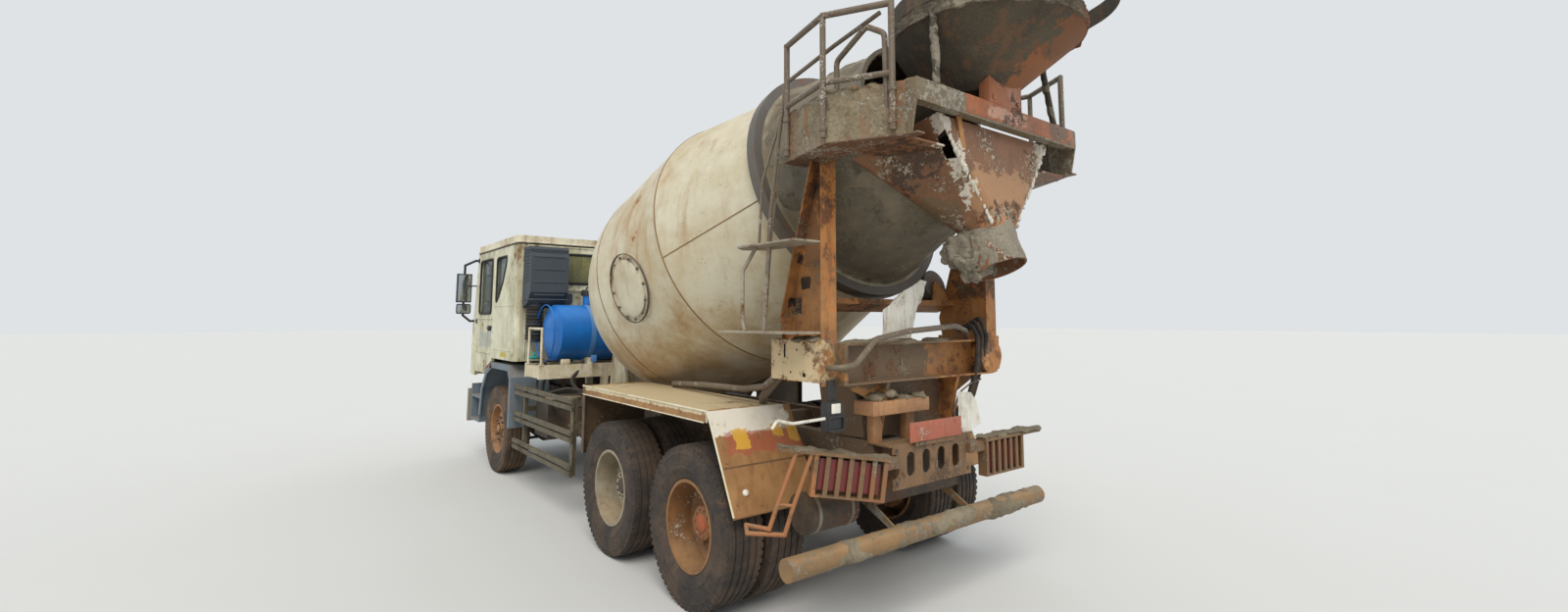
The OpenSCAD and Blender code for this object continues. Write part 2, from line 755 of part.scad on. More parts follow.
module cab_glass() color("#4c5a58") {
    g = glass_gap;
    slope = screen_rake / (cab_roof_z - sill_z);
    inner = cab_half - cab_wall - 60;
    // windscreen
    side_plate([[screen_x - 24, sill_z + g], [screen_x - 24 + glass_t, sill_z + g],
        [screen_x - 24 + glass_t - slope * (header_z - sill_z), header_z - g],
        [screen_x - 24 - slope * (header_z - sill_z), header_z - g]], g - inner, inner - g);
    // rear window
    block([cab_rear_x + 12, cab_rear_x + 12 + glass_t], [g - 630, 630 - g], [2330 + g, 2690 - g]);
    // quarter windows
    both() side_plate([[axle_f + 110 - g, cab_roof_z - 130 - g], [axle_f - 330 + g, cab_roof_z - 130 - g],
        [axle_f - 300 + g, 2560], [axle_f - 180 + g, 2350 + g], [axle_f - 20, 2180 + g],
        [axle_f + 110 - g, 2080 + g]], cab_half - 24, cab_half - 24 + glass_t);
}

module door() color("#d2c9a6") {
    x0 = door_x0 + door_gap;
    x1 = door_x1 - door_gap;
    difference() {
        union() {
            side_plate([[x0, cab_floor_z - 38], [axle_f + 440, door_z0 + 95], [axle_f + 530, door_z0],
                [x1, door_z0], [x1, door_z1], [x0, door_z1]], cab_half - cab_wall, cab_half);
            // hinge pins between the barrels and the arm to the door
            for (z = [1500, 2400]) {
                translate([door_x1 + 4, hinge_y, z - 40]) cylinder(h = 39, r = hinge_r);
                translate([door_x1 + 4, hinge_y, z - 10]) cylinder(h = 60, r = 6);
                block([x1 - 40, door_x1 + 4], [cab_half, hinge_y + 4], [z - 40, z - 1]);
            }
        }
        door_window(-1, 0);
    }
}

// hole of the door window, or its pane when g is above zero
module door_window(y_out, g) {
    side_plate([[door_x0 + 95 + g, win_z0 + g], [door_x1 - 90 - g, win_z0 + g], [door_x1 - 90 - g, win_z1 - g],
        [door_x0 + 95 + g, win_z1 - g]], cab_half - cab_wall + y_out, cab_half - y_out);
}

module door_left() door();
module door_right() mirror([0, 1, 0]) door();

module door_glass() color("#4c5a58") door_window(17, glass_gap);
module door_glass_left() door_glass();
module door_glass_right() mirror([0, 1, 0]) door_glass();

module seats() color("#3f3b36") {
    top_z = cab_floor_z + cab_floor_t;
    for (y = [-seat_y, seat_y]) {
        block([axle_f + 120, axle_f + 560], [y - seat_half + 80, y + seat_half - 80], [top_z, top_z + 220]);
        block([axle_f + 50.3, axle_f + 600], [y - seat_half, y + seat_half], [top_z + 220, top_z + 380]);
        side_plate([[axle_f - 90, top_z + 220], [axle_f + 50, top_z + 220], [axle_f - 20, top_z + 1000],
            [axle_f - 120, top_z + 1000]], y - seat_half + 10, y + seat_half - 10);
    }
}

module dashboard() color("#35322e") {
    inner = cab_half - cab_wall;
    x1 = cab_front_x - 45;
    wheel_c = [axle_f + 700, seat_y, 2030];
    union() {
        side_plate([[x1 - 330, 1700], [x1, 1660], [x1, 1880], [x1 - 120, 1880], [x1 - 300, 1860]],
            -inner + 60, inner - 60);
        rod([x1 - 200, seat_y, 1780], wheel_c, 30);
        translate(wheel_c) rotate([0, -35, 0]) {
            rotate_extrude() translate([215, 0]) circle(r = 16, $fn = 24);
            cylinder(h = 30, r = 60, center = true);
            for (a = [0, 90, 180, 270]) rotate([0, 0, a]) translate([40, -14, -6]) cube([170, 28, 12]);
        }
    }
}

// mirror frames ahead of the doors
module mirrors() color("#26221f") {
    x = cab_front_x - 60;
    y = cab_half + 150;
    both() union() {
        tube_run([[x - 170, cab_half, 2700], [x - 170, cab_half + 50, 2700], [x, y, 2640], [x, y, 1940],
            [x - 20, cab_half + 60, 1860], [x - 20, cab_half, 1860]], 16);
        tube_run([[x - 70, cab_half, 2350], [x - 70, cab_half + 40, 2350], [x, y, 2350]], 9);
        block([x - 22, x + 22], [y - 95, y + 95], [2120, 2520]);
        block([x - 20, x + 20], [y - 80, y + 80], [1960, 2100]);
    }
}

// air intake stack on the back wall of the cab, with its bellows
module air_intake() color("#22252a") {
    x1 = cab_rear_x - 0.3;
    union() {
        side_plate([[x1 - 250, 2740], [x1 - 290, 2620], [x1 - 290, 2200], [x1 - 200, 2080], [x1 - 20, 2020],
            [x1, 2080], [x1, 2740]], 690, 1130);
        translate([x1 - 100, 1010, 1960]) cylinder(h = 130, r = 80);
        for (z = [1640 : 60 : 1940]) translate([x1 - 100, 1010, z]) cylinder(h = 26, r = 90);
        translate([x1 - 100, 1010, 1620]) cylinder(h = 400, r = 74);
        block([x1 - 90, x1], [560, 660], [2080, 2200]);
        block([x1 - 60, x1 - 20], [640, 700], [2100, 2180]);
    }
}

// side outline of the arch over a front wheel, shrunk inwards by d
arch = function(d) [[axle_f - 706 + d, 620], [axle_f - 706 + d, 1200 - 0.4 * d],
    [axle_f - 600 + 0.6 * d, 1340 - d], [axle_f + 150 - 0.2 * d, 1340 - d],
    [axle_f + 420 - 0.7 * d, 1240 - 0.8 * d], [axle_f + 640 - 0.9 * d, 980 - 0.3 * d],
    [axle_f + 706 - d, 620]];
function backwards(list) = [for (i = [len(list) - 1 : -1 : 0]) list[i]];

// mudguards over the front wheels, with the steps ahead of them
module arch_guards() color("#6f7a80") {
    step_x = axle_f + 706;
    both() union() {
        side_plate(concat(arch(0), backwards(arch(14))), arch_y0, arch_y1);
        side_plate(concat(arch(0), backwards(arch(70))), arch_y1 - 14, arch_y1);
        // entry steps below the door and the plate that carries them
        for (z = [520, 830]) block([step_x - 1, front_x - 190], [860, 1200], [z, z + 30]);
        block([front_x - 220, front_x - 190], [860, 1200], [520, 1000]);
        block([step_x - 1, step_x + 14], [arch_y0, arch_y1 - 14], [520, 860]);
        // arms to the frame
        shaft(axle_f - 740, 900, frame_half, 800, 28);
        block([axle_f - 760, axle_f - 705], [770, 800], [870, 930]);
        shaft(step_x + 60, 845, frame_half, 861, 28);
    }
}

module water_tank() color("#1f6fc0") {
    x = axle_f - tank_back;
    z = tank_deck_z + 30 + tank_d / 2;
    r = tank_d / 2;
    dome = 90;
    dome_r = (r * r + dome * dome) / (2 * dome);
    union() {
        shaft(x, z, -tank_len / 2 + dome, tank_len / 2 - dome, r);
        both() intersection() {
            translate([x, tank_len / 2 - dome_r, z]) sphere(r = dome_r, $fn = 128);
            shaft(x, z, tank_len / 2 - dome, tank_len / 2 + 1, r);
        }
        // filler neck and cap
        translate([x + 30, 500, z]) cylinder(h = r + 150, r = 60);
        translate([x + 30, 500, z + r + 150]) cylinder(h = 30, r = 72);
    }
}

// cream deck that carries the water tank, and its guard loops
module tank_deck() color("#d6cdb2") {
    x = axle_f - tank_back;
    z0 = subframe_top;
    half = 1130;
    union() {
        for (s = [-230, 230]) block([x + s - 30, x + s + 30], [-half, half], [tank_deck_z - 150, tank_deck_z]);
        for (y = [-half, -frame_half + 10, frame_half - 60, half - 50])
            block([x - 230, x + 230], [y, y + 50], [tank_deck_z - 140, tank_deck_z - 10]);
        both() for (s = [-230, 230])
            block([x + s - 30, x + s + 30], [flange_in, frame_half - 10], [z0, tank_deck_z - 140]);
        // saddles under the tank
        both() difference() {
            side_plate([[x - 230, tank_deck_z - 1], [x + 230, tank_deck_z - 1], [x + 230, tank_deck_z + 70],
                [x - 230, tank_deck_z + 70]], 520, 580);
            shaft(x, tank_deck_z + 30 + tank_d / 2, 500, 600, tank_d / 2 + 0.3);
        }
        // guard loops at the ends
        both() tube_run([[x - 250, half - 20, tank_deck_z - 20], [x - 260, half - 15, tank_deck_z + 400],
            [x + 180, half - 15, tank_deck_z + 400], [x + 200, half - 20, tank_deck_z - 20]], 14);
    }
}

// three pairs of rails on each side, between the wheels
module side_guards() color("#4a4034") {
    x0 = axle_1 + 1020;
    x1 = axle_f - 740;
    y = 1150;
    both() union() {
        for (z = [470, 780, 1080]) {
            block([x0, x1], [y, y + 26], [z - 60, z - 18]);
            block([x0, x1], [y, y + 26], [z + 6, z + 48]);
        }
        for (x = [x0 + 20, x1 - 345]) {
            block([x, x + 45], [y - 40, y], [410, 1128]);
            block([x, x + 45], [frame_half, y - 39], [850, 900]);
        }
    }
}

// sheet mudguards over both rear axles
module rear_mudguards() color("#b98f55") {
    top = [[axle_2 - 280, fender_z - 14], [axle_1 + 571, fender_z - 14], [axle_1 + 571, fender_z],
        [axle_2 - 272, fender_z]];
    slope = [[axle_2 - 280, fender_z], [axle_2 - 594, 710], [axle_2 - 586, 700], [axle_2 - 268, fender_z - 14]];
    y0 = 650;
    both() union() {
        side_plate(top, y0, fender_half);
        side_plate(slope, 585, fender_half);
        // front plate and edge strips
        block([axle_1 + 561, axle_1 + 571], [y0, fender_half], [710, fender_z]);
        block([axle_2 - 268, axle_1 + 571], [fender_half - 8, fender_half], [fender_z - 72, fender_z]);
        block([axle_1 + 521, axle_1 + 571], [fender_half - 8, fender_half], [710, fender_z]);
        // arms to the frame
        for (x = [axle_1 + 565, bogie_x, axle_2 - 290]) {
            rod([x - 15, frame_half + 20, 950], [x - 15, y0 + 30, fender_z - 24], 18);
            block([x - 40, x + 10], [frame_half, frame_half + 30], [925, 975]);
        }
        block([bogie_x - 30, bogie_x], [y0, fender_half - 8], [fender_z - 45, fender_z - 14]);
    }
}

// cream frame that carries the drum drive
module front_pedestal() color("#cdbf97") {
    c = axle_2 + drum_x - (head_s - 170) * cos(drum_tilt);
    z = drum_z + (head_s - 170) * sin(drum_tilt);
    stand_in = flange_in + 10;
    union() {
        both() side_plate([[c - 330, subframe_top], [c + 150, subframe_top], [c + 60, z - 200],
            [c - 140, z - 265]], stand_in, stand_in + 30);
        // bed under the gearbox, square to the drum axis
        both() side_plate([[c - 150, z - 300], [c + 70, z - 240], [c + 60, z - 200], [c - 140, z - 265]], 100, stand_in + 1);
        block([c - 100, c - 60], [-stand_in - 1, stand_in + 1], [subframe_top + 40, subframe_top + 300]);
        both() side_plate([[c - 145, z - 300], [c + 70, z - 235], [c + 58, z - 100], [c + 30, z - 100]], 200, 240);
    }
}

module drum_gearbox() color("#8a8577") {
    on_drum(head_s) {
        rotate_extrude() polygon([[0, -300], [130, -300], [130, -190], [200, -190], [200, -40], [165, -40],
            [165, -seat_gap], [0, -seat_gap]]);
        translate([-40, 0, -345]) cylinder(h = 60, r = 70);
    }
}

module drum_shell() color("#c9b896") {
    on_drum() union() {
        rotate_extrude($fn = 144) difference() {
            drum_profile(0);
            drum_profile(drum_wall);
        }
        // manhole cover on the left of the belly, bent like the drum plate
        rotate([0, 0, hatch_angle]) intersection() {
            translate([drum_r - 60, 0, hatch_s]) rotate([0, 90, 0]) cylinder(h = 90, r = hatch_r);
            translate([0, 0, hatch_s - hatch_r - 1]) difference() {
                cylinder(h = 2 * hatch_r + 2, r = drum_r + 14, $fn = 144);
                translate([0, 0, -1]) cylinder(h = 2 * hatch_r + 4, r = drum_r - drum_wall + 2, $fn = 144);
            }
        }
    }
}

// half section of the drum, shrunk by the wall
module drum_profile(w) {
    r = drum_r - w;
    steps = 14;
    head = [for (i = [0 : steps]) let (a = 90 * i / steps) [r * sin(a), -drum_belly - (drum_head - w) * cos(a)]];
    end = drum_cone + (w > 0 ? 1 : 0);
    polygon(concat(head, [[r, 0], [mouth_r - w, end], [0, end]]));
    if (w == 0) {
        // track ring, mouth collar and the boss of the drive
        polygon([[cone_r(ring_s) - 40, ring_s - ring_w2], [ring_r, ring_s - ring_w2], [ring_r, ring_s + ring_w2],
            [cone_r(ring_s) - 40, ring_s + ring_w2]]);
        translate([mouth_r - 5, drum_cone - 50]) square([30, 50]);
        translate([0, head_s]) square([165, 60]);
    }
}

// steel stand at the rear: columns, roller bed, swivel beam
module rear_pedestal() color("#c0672c") {
    union() {
        both() {
            // column and its slanted leg
            side_plate([[col_x0, beam_z0], [col_x1 + 250, beam_z0], [col_x1 + 330, 1900], [col_x1 + 10, deck_z],
                [col_x0, deck_z]], col_y0, col_y0 + plate_t);
            block([col_x0, col_x0 + plate_t], [col_y0, col_y1 + 30], [beam_z0, deck_z]);
            side_plate([[col_x1 + 240, beam_z0], [col_x1 + 250, beam_z0], [col_x1 + 330, 1900], [col_x1 + 20, deck_z],
                [col_x1 + 8, deck_z], [col_x1 + 318, 1900]], col_y0, col_y1);
            // box at the foot of the column
            block([col_x0, col_x0 + 460], [col_y0, col_y1 + 60], [1510, 1760]);
            // plates down to the subframe
            side_plate([[tail_x, subframe_top], [beam_x + 450, subframe_top], [beam_x + 300, beam_z0 + 1],
                [beam_x - 20, beam_z0 + 1]], flange_in, flange_in + 30);
            cross_plate([[flange_in, 1330], [col_y0 + 10, 1520], [col_y0 + 10, 1700], [flange_in, 1600]],
                beam_x + 60, beam_x + 60 + plate_t);
        }
        // curved beam across the tail
        difference() {
            block([beam_x - 50, beam_x + 70], [-720, col_y0 + 1], [beam_z0, beam_z1]);
            block([beam_x - 51, beam_x + 50], [-740, col_y0 - 30], [beam_z0 + 12, beam_z1 - 12]);
        }
        translate([beam_x - 50, -720, (beam_z0 + beam_z1) / 2]) rotate([0, 90, 0])
            cylinder(h = 120, r = (beam_z1 - beam_z0) / 2);
        // bed under the rollers
        on_drum(ring_s) {
            translate([-roller_base - 40, -col_y0 - 1, -90]) cube([40, 2 * col_y0 + 2, 180]);
            both() for (z = [-roller_w / 2 - 26, roller_w / 2 + 6])
                translate([-roller_base - 1, 0, z]) linear_extrude(20) polygon([[0, 540], [0, 750],
                    [roller_r + 20, roller_reach + 45], [roller_r + 20, roller_reach - 45]]);
            // pins of the rollers
            both() translate([-roller_c * cos(roller_angle), roller_reach, -roller_w / 2 - 20])
                cylinder(h = roller_w + 40, r = roller_pin_r);
        }
    }
}

module roller(side) color("#57504a") on_drum(ring_s)
    translate([-roller_c * cos(roller_angle), side * roller_reach, 0]) difference() {
        cylinder(h = roller_w, r = roller_r, center = true);
        cylinder(h = roller_w + 2, r = roller_pin_r + bearing_gap, center = true);
    }

module roller_left() roller(1);
module roller_right() roller(-1);

// bowl with an upright band and a lip that runs out to the rear, shrunk by w for its inside
module hopper_body(w) {
    up = w > 0 ? 1 : 0;
    // lip
    translate([0, 0, hopper_lip_z]) linear_extrude(hopper_z - hopper_lip_z + up) hull() {
        translate([hopper_x, 0]) circle(r = hopper_r - w + 4, $fn = 96);
        translate([tail_end + lip_r, 0]) circle(r = lip_r - w, $fn = 96);
    }
    // band
    translate([hopper_x, 0, hopper_band_z - 1]) cylinder(h = hopper_lip_z - hopper_band_z + 3, r = hopper_r - w);
    // cone
    hull() {
        translate([hopper_x, 0, hopper_band_z]) cylinder(h = 3, r = hopper_r - w - 3, $fn = 64);
        translate([foot_x, 0, hopper_foot + w]) cylinder(h = 3, r = foot_r - w, $fn = 64);
    }
}

// funnel above the drum mouth, its chute into the drum, its stand and struts
module feed_hopper() color("#6b6157") {
    difference() {
        union() {
            hopper_body(0);
            on_chute(0) cylinder(h = 600, r = chute_r);
            block([cross_x, cross_x + cross_t], [-170, 170], [cross_top, hopper_foot + 130]);
            // struts on their foot pads
            both() {
                rod([cross_x + 35, hopper_r + 22, cross_top + 5], [cross_x + 90, hopper_r - 25, hopper_band_z + 40], 20);
                block([cross_x + 5, cross_x + 65], [hopper_r - 12, hopper_r + 52], [cross_top, cross_top + 10]);
            }
        }
        hopper_body(hopper_t);
        on_chute(-60) cylinder(h = 661, r = chute_r - hopper_t);
    }
}

// axis of the chute, forward and down into the drum
module on_chute(s) {
    translate([foot_x + 50, 0, hopper_foot + 210]) rotate([0, 116, 0]) translate([0, 0, s]) children();
}

// unit vector that points out of the walkway from the edge a to b
function edge_out(a, b) = [b[1] - a[1], a[0] - b[0]] / norm(b - a);

// walkways beside the hopper, their skirts and the rear cross beam
module platform() color("#7a6d5c") {
    n1 = edge_out(skirt_a, skirt_b);
    n2 = edge_out(skirt_b, skirt_c);
    t = skirt_t;
    corner = skirt_b + (n1 + n2) * t / (1 + n1 * n2);
    end_x = skirt_a[0];
    union() {
        both() {
            flat_plate([skirt_a, skirt_b, skirt_c, [cross_x, skirt_c[1]], [cross_x, walk_in], [end_x, walk_in]],
                deck_z, deck_z + plate_t);
            flat_plate([skirt_a, skirt_b, skirt_c, skirt_c + n2 * t, corner, skirt_a + n1 * t],
                deck_z, deck_z + skirt_h);
            // low plate at the front end of the walkway
            flat_plate([skirt_a + n1 * t / 2, skirt_a + n1 * t / 2 - [t, 0], [end_x - t, walk_in], [end_x, walk_in]],
                deck_z, deck_z + 120);
            // sloped plate down from the cross beam
            side_plate([[cross_x, deck_z + 200], [cross_x + 40, deck_z], [cross_x + 200, deck_z],
                [cross_x + 200, deck_z + skirt_h], [cross_x, deck_z + skirt_h]],
                skirt_c[1] - t / 2, skirt_c[1] + t / 2);
        }
        block([cross_x, cross_x + cross_t], [-cross_half, cross_half], [deck_z + 185, cross_top]);
    }
}

// bent bar of twelve flats, its straights run a little past each bend
module bar_run(points, r) {
    last = len(points) - 2;
    for (i = [0 : last]) {
        v = points[i + 1] - points[i];
        u = v / norm(v) * r / 2;
        a = points[i] - (i > 0 ? 1 : 0) * u;
        b = points[i + 1] + (i < last ? 1 : 0) * u;
        translate(a) rotate([0, acos(v[2] / norm(v)), atan2(v[1], v[0])]) cylinder(h = norm(b - a), r = r, $fn = 12);
    }
}

// tubes welded to the outside of the skirts
module guard_rails() color("#6f665a") {
    top = deck_z + rail_top;
    mid = deck_z + 350;
    foot = deck_z + 30;
    n1 = edge_out(skirt_a, skirt_b);
    n2 = edge_out(skirt_b, skirt_c);
    out = skirt_t + rail_r + seat_gap;
    a = skirt_a + 0.14 * (skirt_b - skirt_a) + out * n1;
    b = skirt_b + out * (n1 + n2) / (1 + n1 * n2);
    c = skirt_c + 0.15 * (skirt_b - skirt_c) + out * n2;
    both() union() {
        bar_run([[a[0], a[1], foot], [a[0], a[1], top], [b[0], b[1], top], [c[0], c[1], top], [c[0], c[1], foot]], rail_r);
        bar_run([[a[0], a[1], mid], [b[0], b[1], mid], [c[0], c[1], mid]], rail_r - 2);
        bar_run([[b[0], b[1], foot], [b[0], b[1], top]], rail_r - 1);
    }
}

// steps and hand tubes up the left side of the rear stand
module ladder() color("#8a7a63") {
    x0 = col_x0 + plate_t;
    x1 = axle_2 - 620;
    y0 = col_y1;
    union() {
        flat_plate([[x0, y0], [x1 + 240, y0], [x1 + 330, y0 + 130], [x1 + 240, y0 + 240], [x0, y0 + 240]],
            step_high, step_high + step_t);
        flat_plate([[x0, y0], [x1 + 440, y0], [x1 + 440, y0 + 250], [x0, y0 + 250]], step_low, step_low + step_t);
        tube_run([[x1, y0 + 90, deck_z], [x1 + 60, y0 + 110, step_high + step_t],
            [x1 + 100, y0 + 120, step_low + step_t]], 16);
        tube_run([[x1 + 200, y0 + 200, step_low + step_t], [x1 + 230, y0 + 200, step_low + 100],
            [x1 + 230, y0 + 200, step_high - 150], [x1 + 140, y0 + 160, step_high]], 13);
    }
}

// place on the axis of the spout
module on_spout(s) {
    translate([spout_x, 0, spout_top]) rotate([0, 180 + spout_lean, 0]) translate([0, 0, s]) children();
}

// funnel that is high at the cross beam and low in front, shrunk by w for its inside
module collector_body(w) {
    up = w > 0 ? 1 : 0;
    hull() {
        translate([trough_x0 + w, w - trough_y1, trough_z1 - 2 + up]) cube([4, 2 * (trough_y1 - w), 2]);
        translate([trough_x1 - w - 4, w - trough_y0, trough_z0 - 2 + up]) cube([4, 2 * (trough_y0 - w), 2]);
        translate([spout_x, 0, spout_top - up]) cylinder(h = 2, r = spout_r - w, $fn = 32);
    }
}

// trough under the drum mouth: two high side sheets and a lower rear sheet over a round spout
module collector() color("#8a4a2e") {
    mouth_gap = 14;
    difference() {
        union() {
            collector_body(0);
            on_spout(-100) cylinder(h = 100 + spout_len, r = spout_r);
            // hanging flanges under the walkways
            both() flat_plate([[trough_x0, trough_y1 - 135], [trough_x0, walk_in + 30],
                [trough_x0 + 420, walk_in + 30], [trough_x0 + 420, trough_y1 - 5]], deck_z - plate_t, deck_z);
        }
        collector_body(trough_t);
        on_spout(-110) cylinder(h = 111 + spout_len, r = spout_r - trough_t);
        // open above the rear sheet
        block([trough_x0 - 1, trough_x0 + 60], [60 - trough_y1, trough_y1 - 60], [sheet_z, trough_z1 + 1]);
        // room for the drum mouth
        on_drum(drum_cone - 500) cylinder(h = 500 + mouth_gap, r1 = cone_r(drum_cone - 500) + mouth_gap,
            r2 = mouth_r + 25 + mouth_gap);
    }
}

// one lamp guard: ledge, back plate, floor and upright bars, with its inner end at the origin
module lamp_guard() {
    len = guard_y1 - guard_y0;
    h = guard_z1 - guard_z0;
    deep = 72;
    pitch = (len - 28) / 6;
    block([-8, deep], [-20, len + 220], [h, h + ledge_t]);
    block([deep - 10, deep], [0, len], [0, h + 1]);
    block([0, deep], [0, len], [0, 12]);
    for (i = [0 : 6]) block([0, 12], [i * pitch, i * pitch + 28], [0, h + 1]);
    for (y = [0, len - 12]) block([1, deep], [y, y + 12], [0, h + 1]);
}

// lamps behind the bars of one guard
module lamp_row() {
    block([22, 61.7], [40, guard_y1 - guard_y0 - 40], [40, guard_z1 - guard_z0 - 20]);
}

// place of a lamp guard: straight on the right, its outer end knocked forward and up on the left
module at_guard(side) {
    if (side < 0) mirror([0, 1, 0]) translate([tail_face - 52, guard_y0, guard_z0]) children();
    else translate([tail_face - 52, guard_y0, guard_z0]) rotate([8, 0, -guard_turn]) children();
}

// board with its oval holes, lamp guards and the step of the tail
module tail_board() color("#8f7350") {
    x0 = tail_face - 10;
    oval_r = 38;
    oval_gap = 152;
    union() {
        difference() {
            block([x0, x0 + plate_t], [-board_half, board_half], [board_z0, board_z1]);
            for (i = [-2.5 : 1 : 2.5]) for (z = [board_z0 + 105, board_z1 - 95])
                translate([x0 - 1, i * oval_gap, z]) rotate([0, 90, 0]) cylinder(h = plate_t + 2, r = oval_r);
            for (i = [-2.5 : 1 : 2.5]) block([x0 - 1, x0 + plate_t + 1],
                [i * oval_gap - oval_r, i * oval_gap + oval_r], [board_z0 + 105, board_z1 - 95]);
        }
        // cover behind the board and the arms that carry both
        block([x0 + 1, tail_x - 12], [-frame_half, frame_half], [board_z1 - 12, board_z1]);
        both() block([x0 + plate_t - 1, tail_x - 12], [flange_in, flange_in + 12], [board_z0, board_z1 - 11]);
        for (side = [-1, 1]) {
            at_guard(side) lamp_guard();
            // arm of the guard from the arms of the board
            block([tail_face - 40, tail_face + 60], side > 0 ? [flange_in + 11, guard_y0 - 28] :
                [-guard_y0 - 5, -flange_in - 11], [guard_z1 - 60, guard_z1 + 8]);
        }
        // blank number plate
        block([x0 - 24, x0 - 18], [-260, 260], [board_z1 + 5, board_z1 + 125]);
        block([x0 - 18.5, x0 + 1], [-200, 200], [board_z1 - 25, board_z1 + 25]);
        // hanging step on the left: two legs, a rung and the foot loop
        at_guard(1) translate([4, guard_y1 - guard_y0 + 115, guard_z1 - guard_z0 + 5]) {
            tube_run([[0, 0, 0], [0, 70, -305], [0, 100, -445], [86, 220, -455], [16, 220, -480],
                [0, 5, -470], [0, -25, -305], [0, -95, 0]], 13);
            rod([0, 70, -305], [0, -25, -305], 10);
        }
    }
}

module underrun_bar() color("#b08a55") {
    x = tail_face;
    union() {
        shaft(x, 550, -underrun_half, underrun_half, underrun_d / 2);
        both() side_plate([[x - 40, 590], [x + 40, 590], [tail_x + 200, rail_z0], [tail_x + 60, rail_z0]],
            frame_half - 60, frame_half - 48);
    }
}

chassis_frame();
mixer_subframe();
front_axle();
knuckle_left();
knuckle_right();
track_rod();
rear_axles();
leaf_springs();
front_tyre_left();
front_rim_left();
front_tyre_right();
front_rim_right();
first_tyres_left();
first_rims_left();
first_tyres_right();
first_rims_right();
second_tyres_left();
second_rims_left();
second_tyres_right();
second_rims_right();
engine_block();
driveline();
side_tanks();
front_bumper();
lamps();
cab_floor();
cab_rear_wall();
cab_side_panels();
cab_front_panel();
cab_roof();
cab_glass();
door_left();
door_right();
door_glass_left();
door_glass_right();
seats();
dashboard();
mirrors();
air_intake();
arch_guards();
water_tank();
tank_deck();
side_guards();
rear_mudguards();
front_pedestal();
drum_gearbox();
drum_shell();
rear_pedestal();
roller_left();
roller_right();
feed_hopper();
platform();
guard_rails();
ladder();
collector();
tail_board();
underrun_bar();
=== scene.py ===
"""The looks of a worn concrete mixer truck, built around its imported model.

All places are in metres in the truck's own frame: +X forward, +Y to its left, +Z up, origin on the ground.
"""
import logging
import math
from dataclasses import dataclass, field
from enum import Enum
from typing import Callable, Iterable, Optional, Sequence

import bmesh
import bpy
from mathutils import Matrix, Vector, noise


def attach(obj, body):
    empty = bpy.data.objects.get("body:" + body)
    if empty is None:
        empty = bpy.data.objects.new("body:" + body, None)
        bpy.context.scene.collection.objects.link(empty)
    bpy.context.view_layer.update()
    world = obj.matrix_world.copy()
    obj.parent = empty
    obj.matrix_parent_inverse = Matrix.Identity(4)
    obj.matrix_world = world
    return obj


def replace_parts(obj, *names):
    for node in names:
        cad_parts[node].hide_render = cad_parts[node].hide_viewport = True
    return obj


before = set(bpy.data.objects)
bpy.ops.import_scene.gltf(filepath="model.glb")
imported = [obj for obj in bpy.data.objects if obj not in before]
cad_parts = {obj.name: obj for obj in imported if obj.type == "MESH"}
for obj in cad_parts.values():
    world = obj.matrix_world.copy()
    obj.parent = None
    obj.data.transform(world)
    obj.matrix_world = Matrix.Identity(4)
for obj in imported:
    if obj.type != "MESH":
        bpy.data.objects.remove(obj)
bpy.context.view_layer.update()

LOG = logging.getLogger("mixer_truck")
Point = tuple[float, float, float]
Pair = tuple[float, float]
Colour = tuple[float, float, float, float]


def tone(code: str) -> Colour:
    """Turn a colour as it looks on a screen into the linear colour that a shader takes.

    Args:
        code: Six hexadecimal digits.

    Returns:
        The linear red, green, blue and an alpha of 1.
    """
    parts = [int(code[i:i + 2], 16) / 255 for i in (0, 2, 4)]
    return (*[p / 12.92 if p <= 0.04045 else ((p + 0.055) / 1.055) ** 2.4 for p in parts], 1.0)


class Side(Enum):
    """The two sides of the truck, each with the sign of its Y."""

    LEFT = 1
    RIGHT = -1

    @property
    def word(self) -> str:
        """The side's name in small letters."""
        return self.name.lower()


class Socket:
    """A shader value that Python expressions can combine."""

    def __init__(self, graph: "Graph", link: bpy.types.NodeSocket) -> None:
        """Keep the graph and the node socket that gives the value."""
        self.graph = graph
        self.link = link

    def _math(self, operation: str, first: object, second: object) -> "Socket":
        """Add one Math node for two values."""
        node = self.graph.node("ShaderNodeMath", {"operation": operation}, {0: first, 1: second})
        return Socket(self.graph, node.outputs[0])

    def __add__(self, other: object) -> "Socket":
        """Add."""
        return self._math("ADD", self, other)

    def __sub__(self, other: object) -> "Socket":
        """Subtract."""
        return self._math("SUBTRACT", self, other)

    def __rsub__(self, other: object) -> "Socket":
        """Subtract from a number."""
        return self._math("SUBTRACT", other, self)

    def __mul__(self, other: object) -> "Socket":
        """Multiply."""
        return self._math("MULTIPLY", self, other)

    __radd__ = __add__
    __rmul__ = __mul__

    def size(self) -> "Socket":
        """Its value without the sign."""
        return self._math("ABSOLUTE", self, 0.0)

    def most(self, other: object) -> "Socket":
        """The larger of two values."""
        return self._math("MAXIMUM", self, other)

    def rise(self, low: float, high: float) -> "Socket":
        """Run smoothly from 0 at low to 1 at high, or down if low is the larger.

        Args:
            low: Where it begins.
            high: Where it ends.

        Returns:
            The value.
        """
        settings = {"interpolation_type": "SMOOTHSTEP"}
        node = self.graph.node("ShaderNodeMapRange", settings, {"Value": self, "From Min": low, "From Max": high})
        return Socket(self.graph, node.outputs["Result"])


